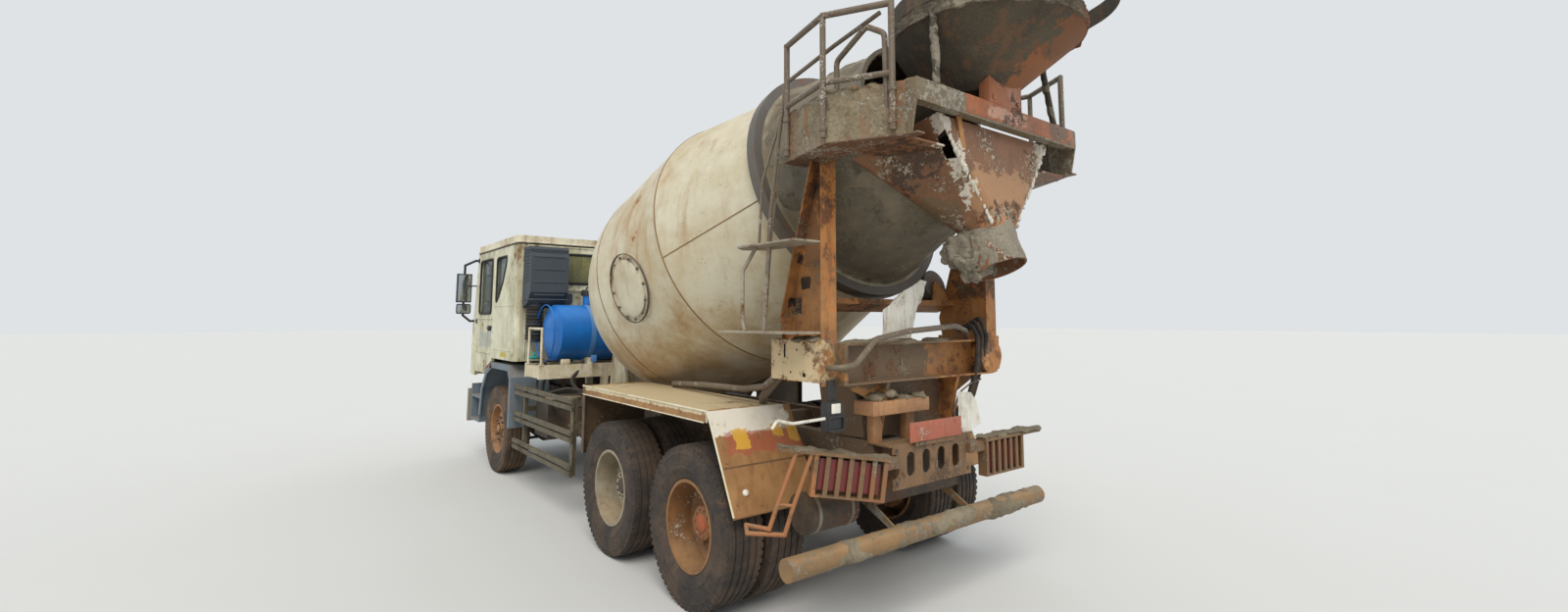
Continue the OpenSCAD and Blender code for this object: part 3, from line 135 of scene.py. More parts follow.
class Graph:
    """The node tree of one material."""

    def __init__(self, name: str) -> None:
        """Make an empty material of that name.

        Args:
            name: The name.
        """
        self.material = bpy.data.materials.new(name)
        self.material.use_nodes = True
        self.tree = self.material.node_tree
        self.tree.nodes.clear()
        self.coordinates = self.node("ShaderNodeTexCoord", {}, {})

    def node(self, kind: str, settings: dict, inputs: dict) -> bpy.types.Node:
        """Add any node.

        Args:
            kind: The node's type.
            settings: Its own settings, where stops are a ramp's places and colours.
            inputs: The value or Socket for each of its sockets.

        Returns:
            The new node.
        """
        node = self.tree.nodes.new(kind)
        for key, value in settings.items():
            if key == "stops":
                ramp = node.color_ramp
                while len(ramp.elements) < len(value):
                    ramp.elements.new(1.0)
                for element, (place, colour) in zip(ramp.elements, value):
                    element.position = place
                    element.color = colour
            else:
                setattr(node, key, value)
        for key, value in inputs.items():
            if isinstance(value, Socket):
                self.tree.links.new(value.link, node.inputs[key])
            else:
                node.inputs[key].default_value = value
        return node

    def place(self, stretch: Point = (1, 1, 1), turn: Point = (0, 0, 0), shift: Point = (0, 0, 0)) -> Socket:
        """Object coordinates in metres, moved, turned and stretched.

        Args:
            stretch: How much each axis is stretched.
            turn: How it is turned.
            shift: How far it is moved.

        Returns:
            The value.
        """
        node = self.node("ShaderNodeMapping", {}, {
            "Vector": Socket(self, self.coordinates.outputs["Object"]),
            "Location": shift, "Rotation": turn, "Scale": stretch})
        return Socket(self, node.outputs[0])

    def axes(self, vector: Socket) -> list[Socket]:
        """Split a vector into its three numbers."""
        node = self.node("ShaderNodeSeparateXYZ", {}, {0: vector})
        return [Socket(self, out) for out in node.outputs]

    def along(self, origin: Point, axis: Point) -> Socket:
        """Distance along an axis from a point.

        Args:
            origin: The point.
            axis: The axis.

        Returns:
            The value.
        """
        moved = self.place(shift=tuple(-c for c in origin))
        node = self.node("ShaderNodeVectorMath", {"operation": "DOT_PRODUCT"}, {0: moved, 1: axis})
        return Socket(self, node.outputs["Value"])

    def facing_up(self) -> Socket:
        """How far the surface faces up, from -1 to 1."""
        return self.axes(Socket(self, self.coordinates.outputs["Normal"]))[2]

    def noise(self, where: Socket, scale: float, detail: float = 5, rough: float = 0.6, bent: float = 0.0) -> Socket:
        """Cloudy values from 0 to 1 about 0.5.

        Args:
            where: The place to take it at.
            scale: Its scale.
            detail: Its detail.
            rough: Its roughness.
            bent: Its distortion.

        Returns:
            The value.
        """
        node = self.node("ShaderNodeTexNoise", {}, {
            "Vector": where, "Scale": scale, "Detail": detail, "Roughness": rough, "Distortion": bent})
        return Socket(self, node.outputs["Fac"])

    def cells(self, where: Socket, scale: float) -> Socket:
        """Distance to the nearest of many scattered points."""
        node = self.node("ShaderNodeTexVoronoi", {}, {"Vector": where, "Scale": scale})
        return Socket(self, node.outputs["Distance"])

    def blend(self, share: object, first: object, second: object, mode: str = "MIX") -> Socket:
        """Mix two colours, or blend the second onto the first in another mode."""
        node = self.node("ShaderNodeMix", {"data_type": "RGBA", "blend_type": mode}, {0: share, 6: first, 7: second})
        return Socket(self, node.outputs[2])

    def bump(self, height: Socket, strength: float, depth: float) -> Socket:
        """Turn a height into a normal."""
        node = self.node("ShaderNodeBump", {}, {"Height": height, "Strength": strength, "Distance": depth})
        return Socket(self, node.outputs[0])

    def finish(self, **inputs: object) -> bpy.types.Material:
        """Close the graph with one Principled shader.

        Args:
            inputs: Its sockets, with _ for a space in their names.

        Returns:
            The finished material.
        """
        named = {key.replace("_", " "): value for key, value in inputs.items()}
        shader = self.node("ShaderNodeBsdfPrincipled", {}, named)
        self.node("ShaderNodeOutputMaterial", {}, {"Surface": Socket(self, shader.outputs[0])})
        return self.material


@dataclass(frozen=True)
class Patch:
    """An area of a surface in another colour, given as a box that the colour fills: paint, stains, and in places
    painted light or shade.
    """

    centre: Point
    half: Point
    colour: str
    ragged: float = 0.35
    strength: float = 1.0
    grain: float = 14.0

    def lay(self, graph: Graph, under: Socket) -> Socket:
        """Lay the patch over a colour.

        Args:
            graph: The material's graph.
            under: The colour that shows outside the patch.

        Returns:
            The colour with the patch on it.
        """
        shift = tuple(-c / h for c, h in zip(self.centre, self.half))
        stretch = tuple(1 / h for h in self.half)
        x, y, z = [a.size() for a in graph.axes(graph.place(stretch, shift=shift))]
        edge = x.most(y).most(z)
        rough = (graph.noise(graph.place(), self.grain, 5, 0.65) - 0.5) * (2 * self.ragged)
        share = (edge + rough).rise(1.04, 0.94) * self.strength
        return graph.blend(share, under, tone(self.colour))


@dataclass(frozen=True)
class Coating:
    """A colour that covers a surface from some place along an axis: set concrete, the dark brown below the platform's
    floor, and the ochre of stains and painted shade on the drum's lower side.
    """

    origin: Point
    axis: Point
    start: float
    end: float
    colour: str
    pale: str
    strength: float = 0.9

    def lay(self, graph: Graph, under: Socket, rough: Socket) -> Socket:
        """Lay the coating over a colour.

        Args:
            graph: The material's graph.
            under: The colour where there is none.
            rough: Cloudy values about 0.5 that fray its edge.

        Returns:
            The colour with the coating on it.
        """
        place = graph.along(self.origin, self.axis) + (rough - 0.5) * (self.end - self.start) * 2.5
        shade = graph.blend(rough.rise(0.38, 0.66), tone(self.colour), tone(self.pale))
        return graph.blend(place.rise(self.start, self.end) * self.strength, under, shade)


@dataclass(frozen=True)
class Worn:
    """Old painted or bare steel with drifting colour, runs, rust, dust and splashes of concrete, and patches and bands
    that in places are painted light or shade.
    """

    name: str
    paint: str
    shade: str
    rust: str = "6b3a20"
    deep_rust: str = "3a2118"
    dust: str = "a58a66"
    splash: str = "9b9484"
    rusty: float = 0.3
    dusty: float = 0.3
    splashed: float = 0.0
    runs: float = 0.4
    rough: float = 0.62
    scale: float = 1.0
    relief: float = 0.004
    patches: tuple[Patch, ...] = ()
    stain: str = "8a6238"
    stained: float = 0.0
    chips: float = 0.25
    coatings: tuple[Coating, ...] = ()

    def make(self) -> bpy.types.Material:
        """Build the material.

        Returns:
            The material.
        """
        g = Graph(self.name)
        here = g.place()
        big = g.noise(here, 0.9 * self.scale, 3, 0.5)
        cloud = g.noise(here, 2.3 * self.scale, 6, 0.62)
        blotch = g.noise(here, 8.0 * self.scale, 8, 0.72)
        speck = g.noise(here, 60 * self.scale, 4, 0.7)
        drip = g.noise(g.place((11 * self.scale, 11 * self.scale, 0.8 * self.scale)), 1.0, 6, 0.62)
        colour = g.blend((cloud * 0.6 + blotch * 0.4).rise(0.36, 0.64), tone(self.paint), tone(self.shade))
        colour = g.blend(speck.rise(0.45, 0.75) * 0.3, colour, tone(self.shade))
        stain = (big * 0.5 + cloud * 0.3 + drip * 0.2).rise(0.47, 0.62) * self.stained
        colour = g.blend(stain, colour, tone(self.stain))
        colour = g.blend((drip * 0.75 + big * 0.25).rise(0.5, 0.66) * self.runs, colour, tone(self.rust))
        for patch in self.patches:
            colour = patch.lay(g, colour)
        wear = big * 0.28 + cloud * 0.32 + blotch * 0.28 + speck * 0.12
        edge = 0.605 - 0.17 * self.rusty
        rust = wear.rise(edge, edge + 0.022)
        deep = wear.rise(edge + 0.03, edge + 0.06)
        rust_colour = g.blend((deep * 0.7 + speck * 0.3).rise(0.3, 0.8), tone(self.rust), tone(self.deep_rust))
        colour = g.blend(rust * 0.92, colour, rust_colour)
        pits = g.cells(here, 34 * self.scale).rise(0.2, 0.1) * blotch.rise(0.5, 0.6) * self.chips
        colour = g.blend(pits, colour, tone(self.deep_rust))
        for coating in self.coatings:
            colour = coating.lay(g, colour, blotch * 0.5 + cloud * 0.5)
        settled = (g.facing_up().rise(0.1, 0.9) * 0.75 + cloud * 0.5).rise(0.45, 0.95) * self.dusty
        film = (cloud * 0.5 + blotch * 0.5).rise(0.42, 0.66) * (0.6 * self.dusty)
        colour = g.blend(settled.most(film), colour, tone(self.dust))
        height = blotch * 0.5 + speck * 0.35 - rust * 0.25
        if self.splashed > 0:
            line = 0.60 - 0.14 * self.splashed
            grit = g.noise(here, 26 * self.scale, 8, 0.78)
            crust = (grit * 0.55 + cloud * 0.45).rise(line, line + 0.03)
            caked = g.blend(grit.rise(0.42, 0.6), tone("6f685b"), tone(self.splash))
            colour = g.blend(crust, colour, caked)
            height = height + crust * grit * 1.6
        gloss = rust * 0.25 + self.rough + settled * 0.15
        return g.finish(Base_Color=colour, Roughness=gloss, Normal=g.bump(height, 0.6, self.relief))


@dataclass(frozen=True)
class Rubber:
    """Tyre rubber with brown dust in its grooves."""

    name: str = "old_rubber"
    base: str = "2c2825"
    dust: str = "6d5540"
    dusty: float = 0.55
    rough: float = 0.86

    def make(self) -> bpy.types.Material:
        """Build the material.

        Returns:
            The material.
        """
        g = Graph(self.name)
        here = g.place()
        cloud = g.noise(here, 3.5, 6, 0.65, 0.5)
        speck = g.noise(here, 70, 3, 0.6)
        scuff = g.noise(g.place((30, 3, 30)), 1.0, 4, 0.6)
        share = (cloud * 0.75 + scuff * 0.3).rise(0.38, 0.72) * self.dusty
        colour = g.blend(share, tone(self.base), tone(self.dust))
        colour = g.blend(speck.rise(0.55, 0.8) * 0.3, colour, tone("85705a"))
        return g.finish(Base_Color=colour, Roughness=self.rough, Normal=g.bump(speck + cloud, 0.35, 0.003))


@dataclass(frozen=True)
class Plain:
    """A made surface of one colour, with grain, grime and dust: plastic, rubber hose, lens and mirror, and also the
    painted shade inside holes.
    """

    name: str
    base: str
    grime: str = "4c4238"
    dirty: float = 0.35
    rough: float = 0.5
    metal: float = 0.0
    coat: float = 0.0
    grain: float = 60.0

    def make(self) -> bpy.types.Material:
        """Build the material.

        Returns:
            The material.
        """
        g = Graph(self.name)
        here = g.place()
        cloud = g.noise(here, 4.0, 6, 0.65, 0.5)
        fine = g.noise(here, self.grain, 4, 0.65)
        dirt = (cloud * 0.6 + fine * 0.4 + g.facing_up().rise(0.2, 1.0) * 0.12).rise(0.42, 0.7) * self.dirty
        colour = g.blend(dirt, tone(self.base), tone(self.grime))
        gloss = dirt * 0.4 + self.rough
        return g.finish(Base_Color=colour, Roughness=gloss, Metallic=self.metal, Coat_Weight=self.coat,
                        Normal=g.bump(fine, 0.25, 0.0015))


@dataclass(frozen=True)
class Pane:
    """Dusty cab glass that lets some light through."""

    name: str = "dusty_glass"
    tint: str = "55605c"
    haze: str = "8d8265"
    cover: float = 0.45

    def make(self) -> bpy.types.Material:
        """Build the material.

        Returns:
            The material.
        """
        g = Graph(self.name)
        here = g.place()
        film = g.noise(here, 3.0, 6, 0.7, 0.8).rise(0.35, 0.75)
        streak = g.noise(g.place((14, 14, 1.2)), 1.0, 4, 0.6).rise(0.45, 0.8)
        share = (film * 0.7 + streak * 0.3) * self.cover
        colour = g.blend(share, tone(self.tint), tone(self.haze))
        return g.finish(Base_Color=colour, Roughness=share * 0.5 + 0.08, Alpha=share * 0.4 + 0.52, IOR=1.45)


@dataclass(frozen=True)
class Crust:
    """Set concrete caked on steel: grey, gravelly, with dark pits and rust that shows through."""

    name: str
    base: str = "7b7466"
    pale: str = "a39c8c"
    pit: str = "3b362f"
    rust: str = "7a4325"
    rusty: float = 0.25
    coarse: float = 1.0
    relief: float = 0.012
    streaks: float = 0.0
    streak: str = "86593a"
    patches: tuple[Patch, ...] = ()

    def make(self) -> bpy.types.Material:
        """Build the material.

        Returns:
            The material.
        """
        g = Graph(self.name)
        here = g.place()
        cloud = g.noise(here, 1.8, 6, 0.65, 0.5)
        lumps = g.cells(here, 34 * self.coarse)
        grit = g.noise(here, 55 * self.coarse, 6, 0.78)
        blotch = g.noise(here, 5.0, 7, 0.7, 0.7)
        colour = g.blend((grit * 0.5 + cloud * 0.5).rise(0.38, 0.62), tone(self.base), tone(self.pale))
        colour = g.blend(blotch.rise(0.52, 0.7) * 0.65, colour, tone(self.pit))
        edge = 0.70 - 0.24 * self.rusty
        colour = g.blend((cloud * 0.5 + blotch * 0.5).rise(edge, edge + 0.07) * 0.9, colour, tone(self.rust))
        if self.streaks:
            drip = g.noise(g.place((10, 10, 0.7)), 1.0, 6, 0.65)
            colour = g.blend(drip.rise(0.49, 0.62) * self.streaks, colour, tone(self.streak))
        for patch in self.patches:
            colour = patch.lay(g, colour)
        colour = g.blend(grit.rise(0.62, 0.7) * 0.55, colour, tone(self.pit))
        height = (1 - lumps) * 0.6 + grit * 0.7
        return g.finish(Base_Color=colour, Roughness=0.9, Normal=g.bump(height, 0.8, self.relief))


@dataclass(frozen=True)
class Weave:
    """Dark seat cloth with a fine weave and worn pale places."""

    name: str = "seat_weave"
    base: str = "3a3835"
    worn: str = "6f675b"
    threads: float = 900.0

    def make(self) -> bpy.types.Material:
        """Build the material.

        Returns:
            The material.
        """
        g = Graph(self.name)
        waves = []
        for turn in ((0, 0, 0), (0, 0, math.pi / 2), (math.pi / 2, 0, 0)):
            node = g.node("ShaderNodeTexWave", {}, {"Vector": g.place(turn=turn), "Scale": self.threads / 6.3})
            waves.append(Socket(g, node.outputs["Fac"]))
        cloth = waves[0] * waves[1] + waves[2] * 0.5
        cloud = g.noise(g.place(), 4.0, 5, 0.6)
        colour = g.blend(cloud.rise(0.4, 0.75) * 0.6, tone(self.base), tone(self.worn))
        return g.finish(Base_Color=colour, Roughness=0.92, Normal=g.bump(cloth, 0.4, 0.001))


class Shape:
    """A mesh under construction, made only with bmesh operators."""

    def __init__(self) -> None:
        """Start empty."""
        self.bm = bmesh.new()

    def _bevel(self, verts: Iterable[bmesh.types.BMVert], width: float, segments: int = 2) -> None:
        """Round the edges between some vertices.

        Args:
            verts: The corners.
            width: How wide it is.
            segments: How many steps it has.
        """
        edges = {e for v in verts for e in v.link_edges}
        bmesh.ops.bevel(self.bm, geom=list(edges), offset=width, affect="EDGES", segments=segments, profile=0.5,
                        material=-1, clamp_overlap=True)

    def block(self, low: Point, high: Point, bevel: float = 0.0, turn: Optional[Matrix] = None) -> "Shape":
        """Add a box between two corners, turned about its middle and with rounded edges if asked.

        Args:
            low: Where it begins.
            high: Where it ends.
            bevel: How wide its rounded edges are.
            turn: How it is turned.

        Returns:
            This shape.
        """
        low_v, high_v = Vector(low), Vector(high)
        matrix = Matrix.Translation((low_v + high_v) / 2) @ (turn or Matrix()) @ Matrix.Diagonal(
            (*(high_v - low_v), 1.0))
        return self.cube(matrix, bevel)

    def cube(self, matrix: Matrix, bevel: float = 0.0) -> "Shape":
        """Add a unit cube that a matrix stretches and places.

        Args:
            matrix: What stretches and places it.
            bevel: How wide its rounded edges are.

        Returns:
            This shape.
        """
        verts = bmesh.ops.create_cube(self.bm, size=1.0, matrix=matrix)["verts"]
        if bevel:
            self._bevel(verts, bevel)
        return self

    def loop(self, corners: Sequence[Point], radius: float, sides: int = 8, bend: float = 0.0) -> "Shape":
        """Add a bent bar that runs round its corners and back to its start."""
        start = (Vector(corners[-1]) + Vector(corners[0])) / 2
        return self.pipe([start, *corners, start], radius, sides, bend)

    def drum(self, centre: Point, axis: Point, radius: float, length: float, sides: int = 24, bevel: float = 0.0,
             top: Optional[float] = None) -> "Shape":
        """Add a closed cylinder or cone whose middle is at centre.

        Args:
            centre: Its middle.
            axis: The axis.
            radius: Its radius.
            length: Its length.
            sides: How many sides it has.
            bevel: How wide its rounded edges are.
            top: The radius of its far end.

        Returns:
            This shape.
        """
        turn = Vector((0, 0, 1)).rotation_difference(Vector(axis)).to_matrix().to_4x4()
        verts = bmesh.ops.create_cone(
            self.bm, cap_ends=True, segments=sides, radius1=radius, radius2=radius if top is None else top,
            depth=length, matrix=Matrix.Translation(centre) @ turn)["verts"]
        if bevel:
            rims = [e for e in {e for v in verts for e in v.link_edges}
                    if all(len(f.verts) in (4, sides) for f in e.link_faces)
                    and any(len(f.verts) == sides for f in e.link_faces)]
            bmesh.ops.bevel(self.bm, geom=rims, offset=bevel, affect="EDGES", segments=2, profile=0.5, material=-1)
        return self

    def pipe(self, points: Sequence[Point], radius: float, sides: int = 12, bend: float = 0.0,
             squash: float = 1.0) -> "Shape":
        """Add a bent bar with closed ends.

        Args:
            points: The corners of its centre line.
            radius: Its radius.
            sides: Faces round it.
            bend: Radius that rounds the corners of the line.
            squash: Its height over its width.

        Returns:
            This shape.
        """
        line = rounded(points, bend) if bend else [Vector(p) for p in points]
        way = (line[1] - line[0]).normalized()
        turn = Vector((0, 0, 1)).rotation_difference(way).to_matrix().to_4x4()
        matrix = Matrix.Translation(line[0]) @ turn @ Matrix.Diagonal((1, squash, 1, 1))
        ring = bmesh.ops.create_circle(self.bm, cap_ends=True, segments=sides, radius=radius, matrix=matrix)["verts"]
        edges = list({e for v in ring for e in v.link_edges})
        for i, (here, there) in enumerate(zip(line, line[1:])):
            step = there - here
            made = bmesh.ops.extrude_edge_only(self.bm, edges=edges)["geom"]
            ring = [v for v in made if isinstance(v, bmesh.types.BMVert)]
            edges = [e for e in made if isinstance(e, bmesh.types.BMEdge)]
            bmesh.ops.translate(self.bm, verts=ring, vec=step)
            after = line[i + 2] - there if i + 2 < len(line) else step
            middle = (step.normalized() + after.normalized()).normalized()
            swing = way.rotation_difference(middle).to_matrix()
            bmesh.ops.rotate(self.bm, verts=ring, cent=there, matrix=swing)
            way = middle
        bmesh.ops.contextual_create(self.bm, geom=edges)
        return self

    def lathe(self, profile: Sequence[Pair], centre: Point, axis: Point, steps: int = 48) -> "Shape":
        """Spin a profile of radius and place along the axis into a closed ring.

        Args:
            profile: Radius and reach of each point.
            centre: Its middle.
            axis: The axis.
            steps: How many steps it takes.

        Returns:
            This shape.
        """
        z_axis = Vector(axis).normalized()
        x_axis = z_axis.orthogonal().normalized()
        verts = [self.bm.verts.new(Vector(centre) + x_axis * r + z_axis * s) for r, s in profile]
        edges = [self.bm.edges.new(pair) for pair in zip(verts, verts[1:])]
        bmesh.ops.spin(self.bm, geom=verts + edges, cent=centre, axis=z_axis, angle=2 * math.pi, steps=steps,
                       use_merge=True)
        bmesh.ops.remove_doubles(self.bm, verts=self.bm.verts, dist=1e-5)
        return self

    def plate(self, outline: Sequence[Point], push: Point, bevel: float = 0.0) -> "Shape":
        """Add a flat plate from its outline, as thick as the push.

        Args:
            outline: Its corners.
            push: Which way and how far it is thick.
            bevel: How wide its rounded edges are.

        Returns:
            This shape.
        """
        verts = [self.bm.verts.new(p) for p in outline]
        face = self.bm.faces.new(verts)
        made = bmesh.ops.extrude_face_region(self.bm, geom=[face])["geom"]
        moved = [v for v in made if isinstance(v, bmesh.types.BMVert)]
        bmesh.ops.translate(self.bm, verts=moved, vec=push)
        if bevel:
            self._bevel(verts + moved, bevel, 1)
        return self

    def knots(self, centre: Point, axis: Point, ring: float, count: int, radius: float, length: float,
              sides: int = 6, start: float = 0.0) -> "Shape":
        """Add nuts or bolt heads round a circle.

        Args:
            centre: Its middle.
            axis: The axis.
            ring: The radius of their ring.
            count: How many there are.
            radius: Its radius.
            length: Its length.
            sides: How many sides it has.
            start: The first one's angle.

        Returns:
            This shape.
        """
        turn = Vector((0, 0, 1)).rotation_difference(Vector(axis))
        for i in range(count):
            angle = start + 2 * math.pi * i / count
            offset = turn @ Vector((ring * math.cos(angle), ring * math.sin(angle), length / 2))
            self.drum(Vector(centre) + offset, axis, radius, length, sides)
        return self

    def roughen(self, amount: float, scale: float, seed: float = 0.0, keep: Optional[Callable] = None) -> "Shape":
        """Push each vertex along its normal by cloudy noise.

        Args:
            amount: The largest push.
            scale: Lumps to the metre.
            seed: Moves the pattern.
            keep: Gives each vertex a share from 0 to 1, by its place.

        Returns:
            This shape.
        """
        self.bm.normal_update()
        offset = Vector((seed, seed * 1.7, -seed))
        for v in self.bm.verts:
            value = noise.fractal(v.co * scale + offset, 0.7, 2.1, 4)
            v.co += v.normal * (amount * value * (keep(v.co) if keep else 1.0))
        return self

    def cut_fine(self, longest: float) -> "Shape":
        """Split edges until none is longer than a length.

        Args:
            longest: The longest edge that stays.

        Returns:
            This shape.
        """
        for _ in range(7):
            long = [e for e in self.bm.edges if e.calc_length() > longest]
            if not long:
                break
            bmesh.ops.subdivide_edges(self.bm, edges=long, cuts=1, use_grid_fill=True)
        bmesh.ops.triangulate(self.bm, faces=[f for f in self.bm.faces if len(f.verts) > 4])
        return self

    def lump(self, centre: Point, size: Point, amount: float, seed: float, detail: int = 3) -> "Shape":
        """Add a rough lump of set concrete.

        Args:
            centre: Its middle.
            size: Its half sizes.
            amount: How rough it is.
            seed: What makes it different.
            detail: Its detail.

        Returns:
            This shape.
        """
        matrix = Matrix.Translation(centre) @ Matrix.Diagonal((*size, 1.0))
        verts = bmesh.ops.create_icosphere(self.bm, subdivisions=detail, radius=1.0, matrix=matrix)["verts"]
        offset = Vector((seed, -seed * 2.3, seed * 0.7))
        for v in verts:
            out = v.co - Vector(centre)
            v.co += out.normalized() * (amount * noise.fractal(v.co * 16 + offset, 0.8, 2.1, 4))
        return self

    def moved(self, matrix: Matrix) -> "Shape":
        """Move everything made so far by a matrix."""
        bmesh.ops.transform(self.bm, matrix=matrix, verts=self.bm.verts)
        return self

    def done(self, name: str, material: bpy.types.Material, body: str, smooth: float = 35.0,
             tidy: bool = True) -> bpy.types.Object:
        """Turn the shape into a piece that rides on a body.

        Args:
            name: The piece's name.
            material: Its finish.
            body: The body that it moves with.
            smooth: Edges sharper than this many degrees stay sharp.
            tidy: Whether to recalculate the normals.

        Returns:
            The new object.
        """
        if tidy:
            bmesh.ops.recalc_face_normals(self.bm, faces=self.bm.faces)
        mesh = bpy.data.meshes.new(name)
        for face in self.bm.faces:
            face.smooth = True
        for edge in self.bm.edges:
            edge.smooth = not (edge.is_manifold and edge.calc_face_angle(0.0) > math.radians(smooth))
        self.bm.to_mesh(mesh)
        self.bm.free()
        mesh.materials.append(material)
        piece = bpy.data.objects.new(name, mesh)
        bpy.context.scene.collection.objects.link(piece)
        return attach(piece, body)


def rounded(points: Sequence[Point], radius: float, steps: int = 5) -> list[Vector]:
    """Round the corners of a line with arcs.

    Args:
        points: The corners.
        radius: The arcs' radius, less where a straight is short.
        steps: Points on an arc, less one.

    Returns:
        The points of the rounded line.
    """
    line = [Vector(p) for p in points]
    out = [line[0]]
    for before, here, after in zip(line, line[1:], line[2:]):
        a, b = (before - here), (after - here)
        angle = a.angle(b)
        reach = min(radius / max(math.tan(angle / 2), 1e-3), a.length * 0.48, b.length * 0.48)
        start, end = here + a.normalized() * reach, here + b.normalized() * reach
        for i in range(steps + 1):
            t = i / steps
            out.append(start * (1 - t) ** 2 + here * (2 * t * (1 - t)) + end * t ** 2)
    out.append(line[-1])
    return out


@dataclass
class Studio:
    """The camera of the photograph's view, the pale floor and the soft light."""

    eye: Point = (-5.858, 3.462, 1.888)
    yaw: float = -38.93
    pitch: float = 5.82
    focal_px: float = 662.2
    axis_px: Pair = (812.0, 257.8)
    picture_px: Pair = (1600.0, 624.0)
    sensor: float = 36.0
    floor_half: float = 120.0
    sun_strength: float = 2.1
    sky_strength: float = 0.85

    def build(self) -> None:
        """Make the camera, the floor, the lamps and the world."""
        self._camera()
        self._floor()
        self._light()
        self._world()

    def _camera(self) -> None:
        """Set the camera where the photograph was taken from."""
        data = bpy.data.cameras.new("view")
        data.sensor_width = self.sensor
        wide, tall = self.picture_px
        data.lens = self.sensor * self.focal_px / wide
        data.shift_x = (wide / 2 - self.axis_px[0]) / wide
        data.shift_y = (self.axis_px[1] - tall / 2) / wide
        data.clip_end = 500.0
        camera = bpy.data.objects.new("view", data)
        yaw, pitch = math.radians(self.yaw), math.radians(self.pitch)
        ahead = Vector((math.cos(yaw) * math.cos(pitch), math.sin(yaw) * math.cos(pitch), math.sin(pitch)))
        camera.location = self.eye
        camera.rotation_mode = "QUATERNION"
        camera.rotation_quaternion = ahead.to_track_quat("-Z", "Y")
        bpy.context.scene.collection.objects.link(camera)
        bpy.context.scene.camera = camera

    def _floor(self) -> None:
        """Lay a pale plain floor."""
        mesh = bpy.data.meshes.new("floor")
        bm = bmesh.new()
        bmesh.ops.create_grid(bm, x_segments=1, y_segments=1, size=self.floor_half)
        bm.to_mesh(mesh)
        bm.free()
        g = Graph("pale_floor")
        grain = g.noise(g.place(), 0.8, 3, 0.5)
        colour = g.blend(grain * 0.3, tone("c9c7c2"), tone("c2bfb8"))
        mesh.materials.append(g.finish(Base_Color=colour, Roughness=0.9))
        floor = bpy.data.objects.new("floor", mesh)
        bpy.context.scene.collection.objects.link(floor)

    def _light(self) -> None:
        """Hang one very soft key lamp and a weak fill."""
        for name, strength, angle, aim in (
                ("key", self.sun_strength, 35.0, (0.62, -0.50, -0.95)),
                ("fill", self.sun_strength * 0.28, 80.0, (0.2, 0.9, -0.4))):
            data = bpy.data.lights.new(name, "SUN")
            data.energy = strength
            data.angle = math.radians(angle)
            data.color = (1.0, 0.97, 0.92) if name == "key" else (0.92, 0.96, 1.0)
            lamp = bpy.data.objects.new(name, data)
            lamp.rotation_mode = "QUATERNION"
            lamp.rotation_quaternion = Vector(aim).to_track_quat("-Z", "Y")
            bpy.context.scene.collection.objects.link(lamp)

    def _world(self) -> None:
        """Light from all round, with a pale ground that the camera and gloss see."""
        world = bpy.data.worlds.new("sky")
        world.use_nodes = True
        bpy.context.scene.world = world
        tree = world.node_tree
        tree.nodes.clear()
        path = tree.nodes.new("ShaderNodeLightPath")
        seen = tree.nodes.new("ShaderNodeMath")
        seen.operation = "MAXIMUM"
        tree.links.new(path.outputs["Is Camera Ray"], seen.inputs[0])
        tree.links.new(path.outputs["Is Transmission Ray"], seen.inputs[1])
        soft = tree.nodes.new("ShaderNodeBackground")
        soft.inputs[0].default_value = (0.86, 0.93, 1.0, 1.0)
        soft.inputs[1].default_value = self.sky_strength
        back = tree.nodes.new("ShaderNodeBackground")
        back.inputs[0].default_value = tone("dfe3e6")
        mix = tree.nodes.new("ShaderNodeMixShader")
        out = tree.nodes.new("ShaderNodeOutputWorld")
        tree.links.new(seen.outputs[0], mix.inputs[0])
        tree.links.new(soft.outputs[0], mix.inputs[1])
        tree.links.new(back.outputs[0], mix.inputs[2])
        tree.links.new(mix.outputs[0], out.inputs[0])


@dataclass
class Finishes:
    """All finishes, each made once."""

    made: dict[str, bpy.types.Material] = field(default_factory=dict)

    def build(self) -> "Finishes":
        """Make every material.

        Returns:
            These finishes.
        """
        for finish in FINISH_LIST:
            self.made[finish.name] = finish.make()
        return self

    def __getitem__(self, name: str) -> bpy.types.Material:
        """Look a finish up by its name."""
        return self.made[name]

    def dress(self) -> None:
        """Give every carried-over piece of the model its finish."""
        for name, nodes in NODE_FINISHES.items():
            for node in nodes:
                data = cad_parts[node].data
                data.materials.clear()
                data.materials.append(self.made[name])


DRUM_BASE, DRUM_AXIS = (-1.198, 0.0, 2.609), (-0.95528, 0.0, 0.29571)

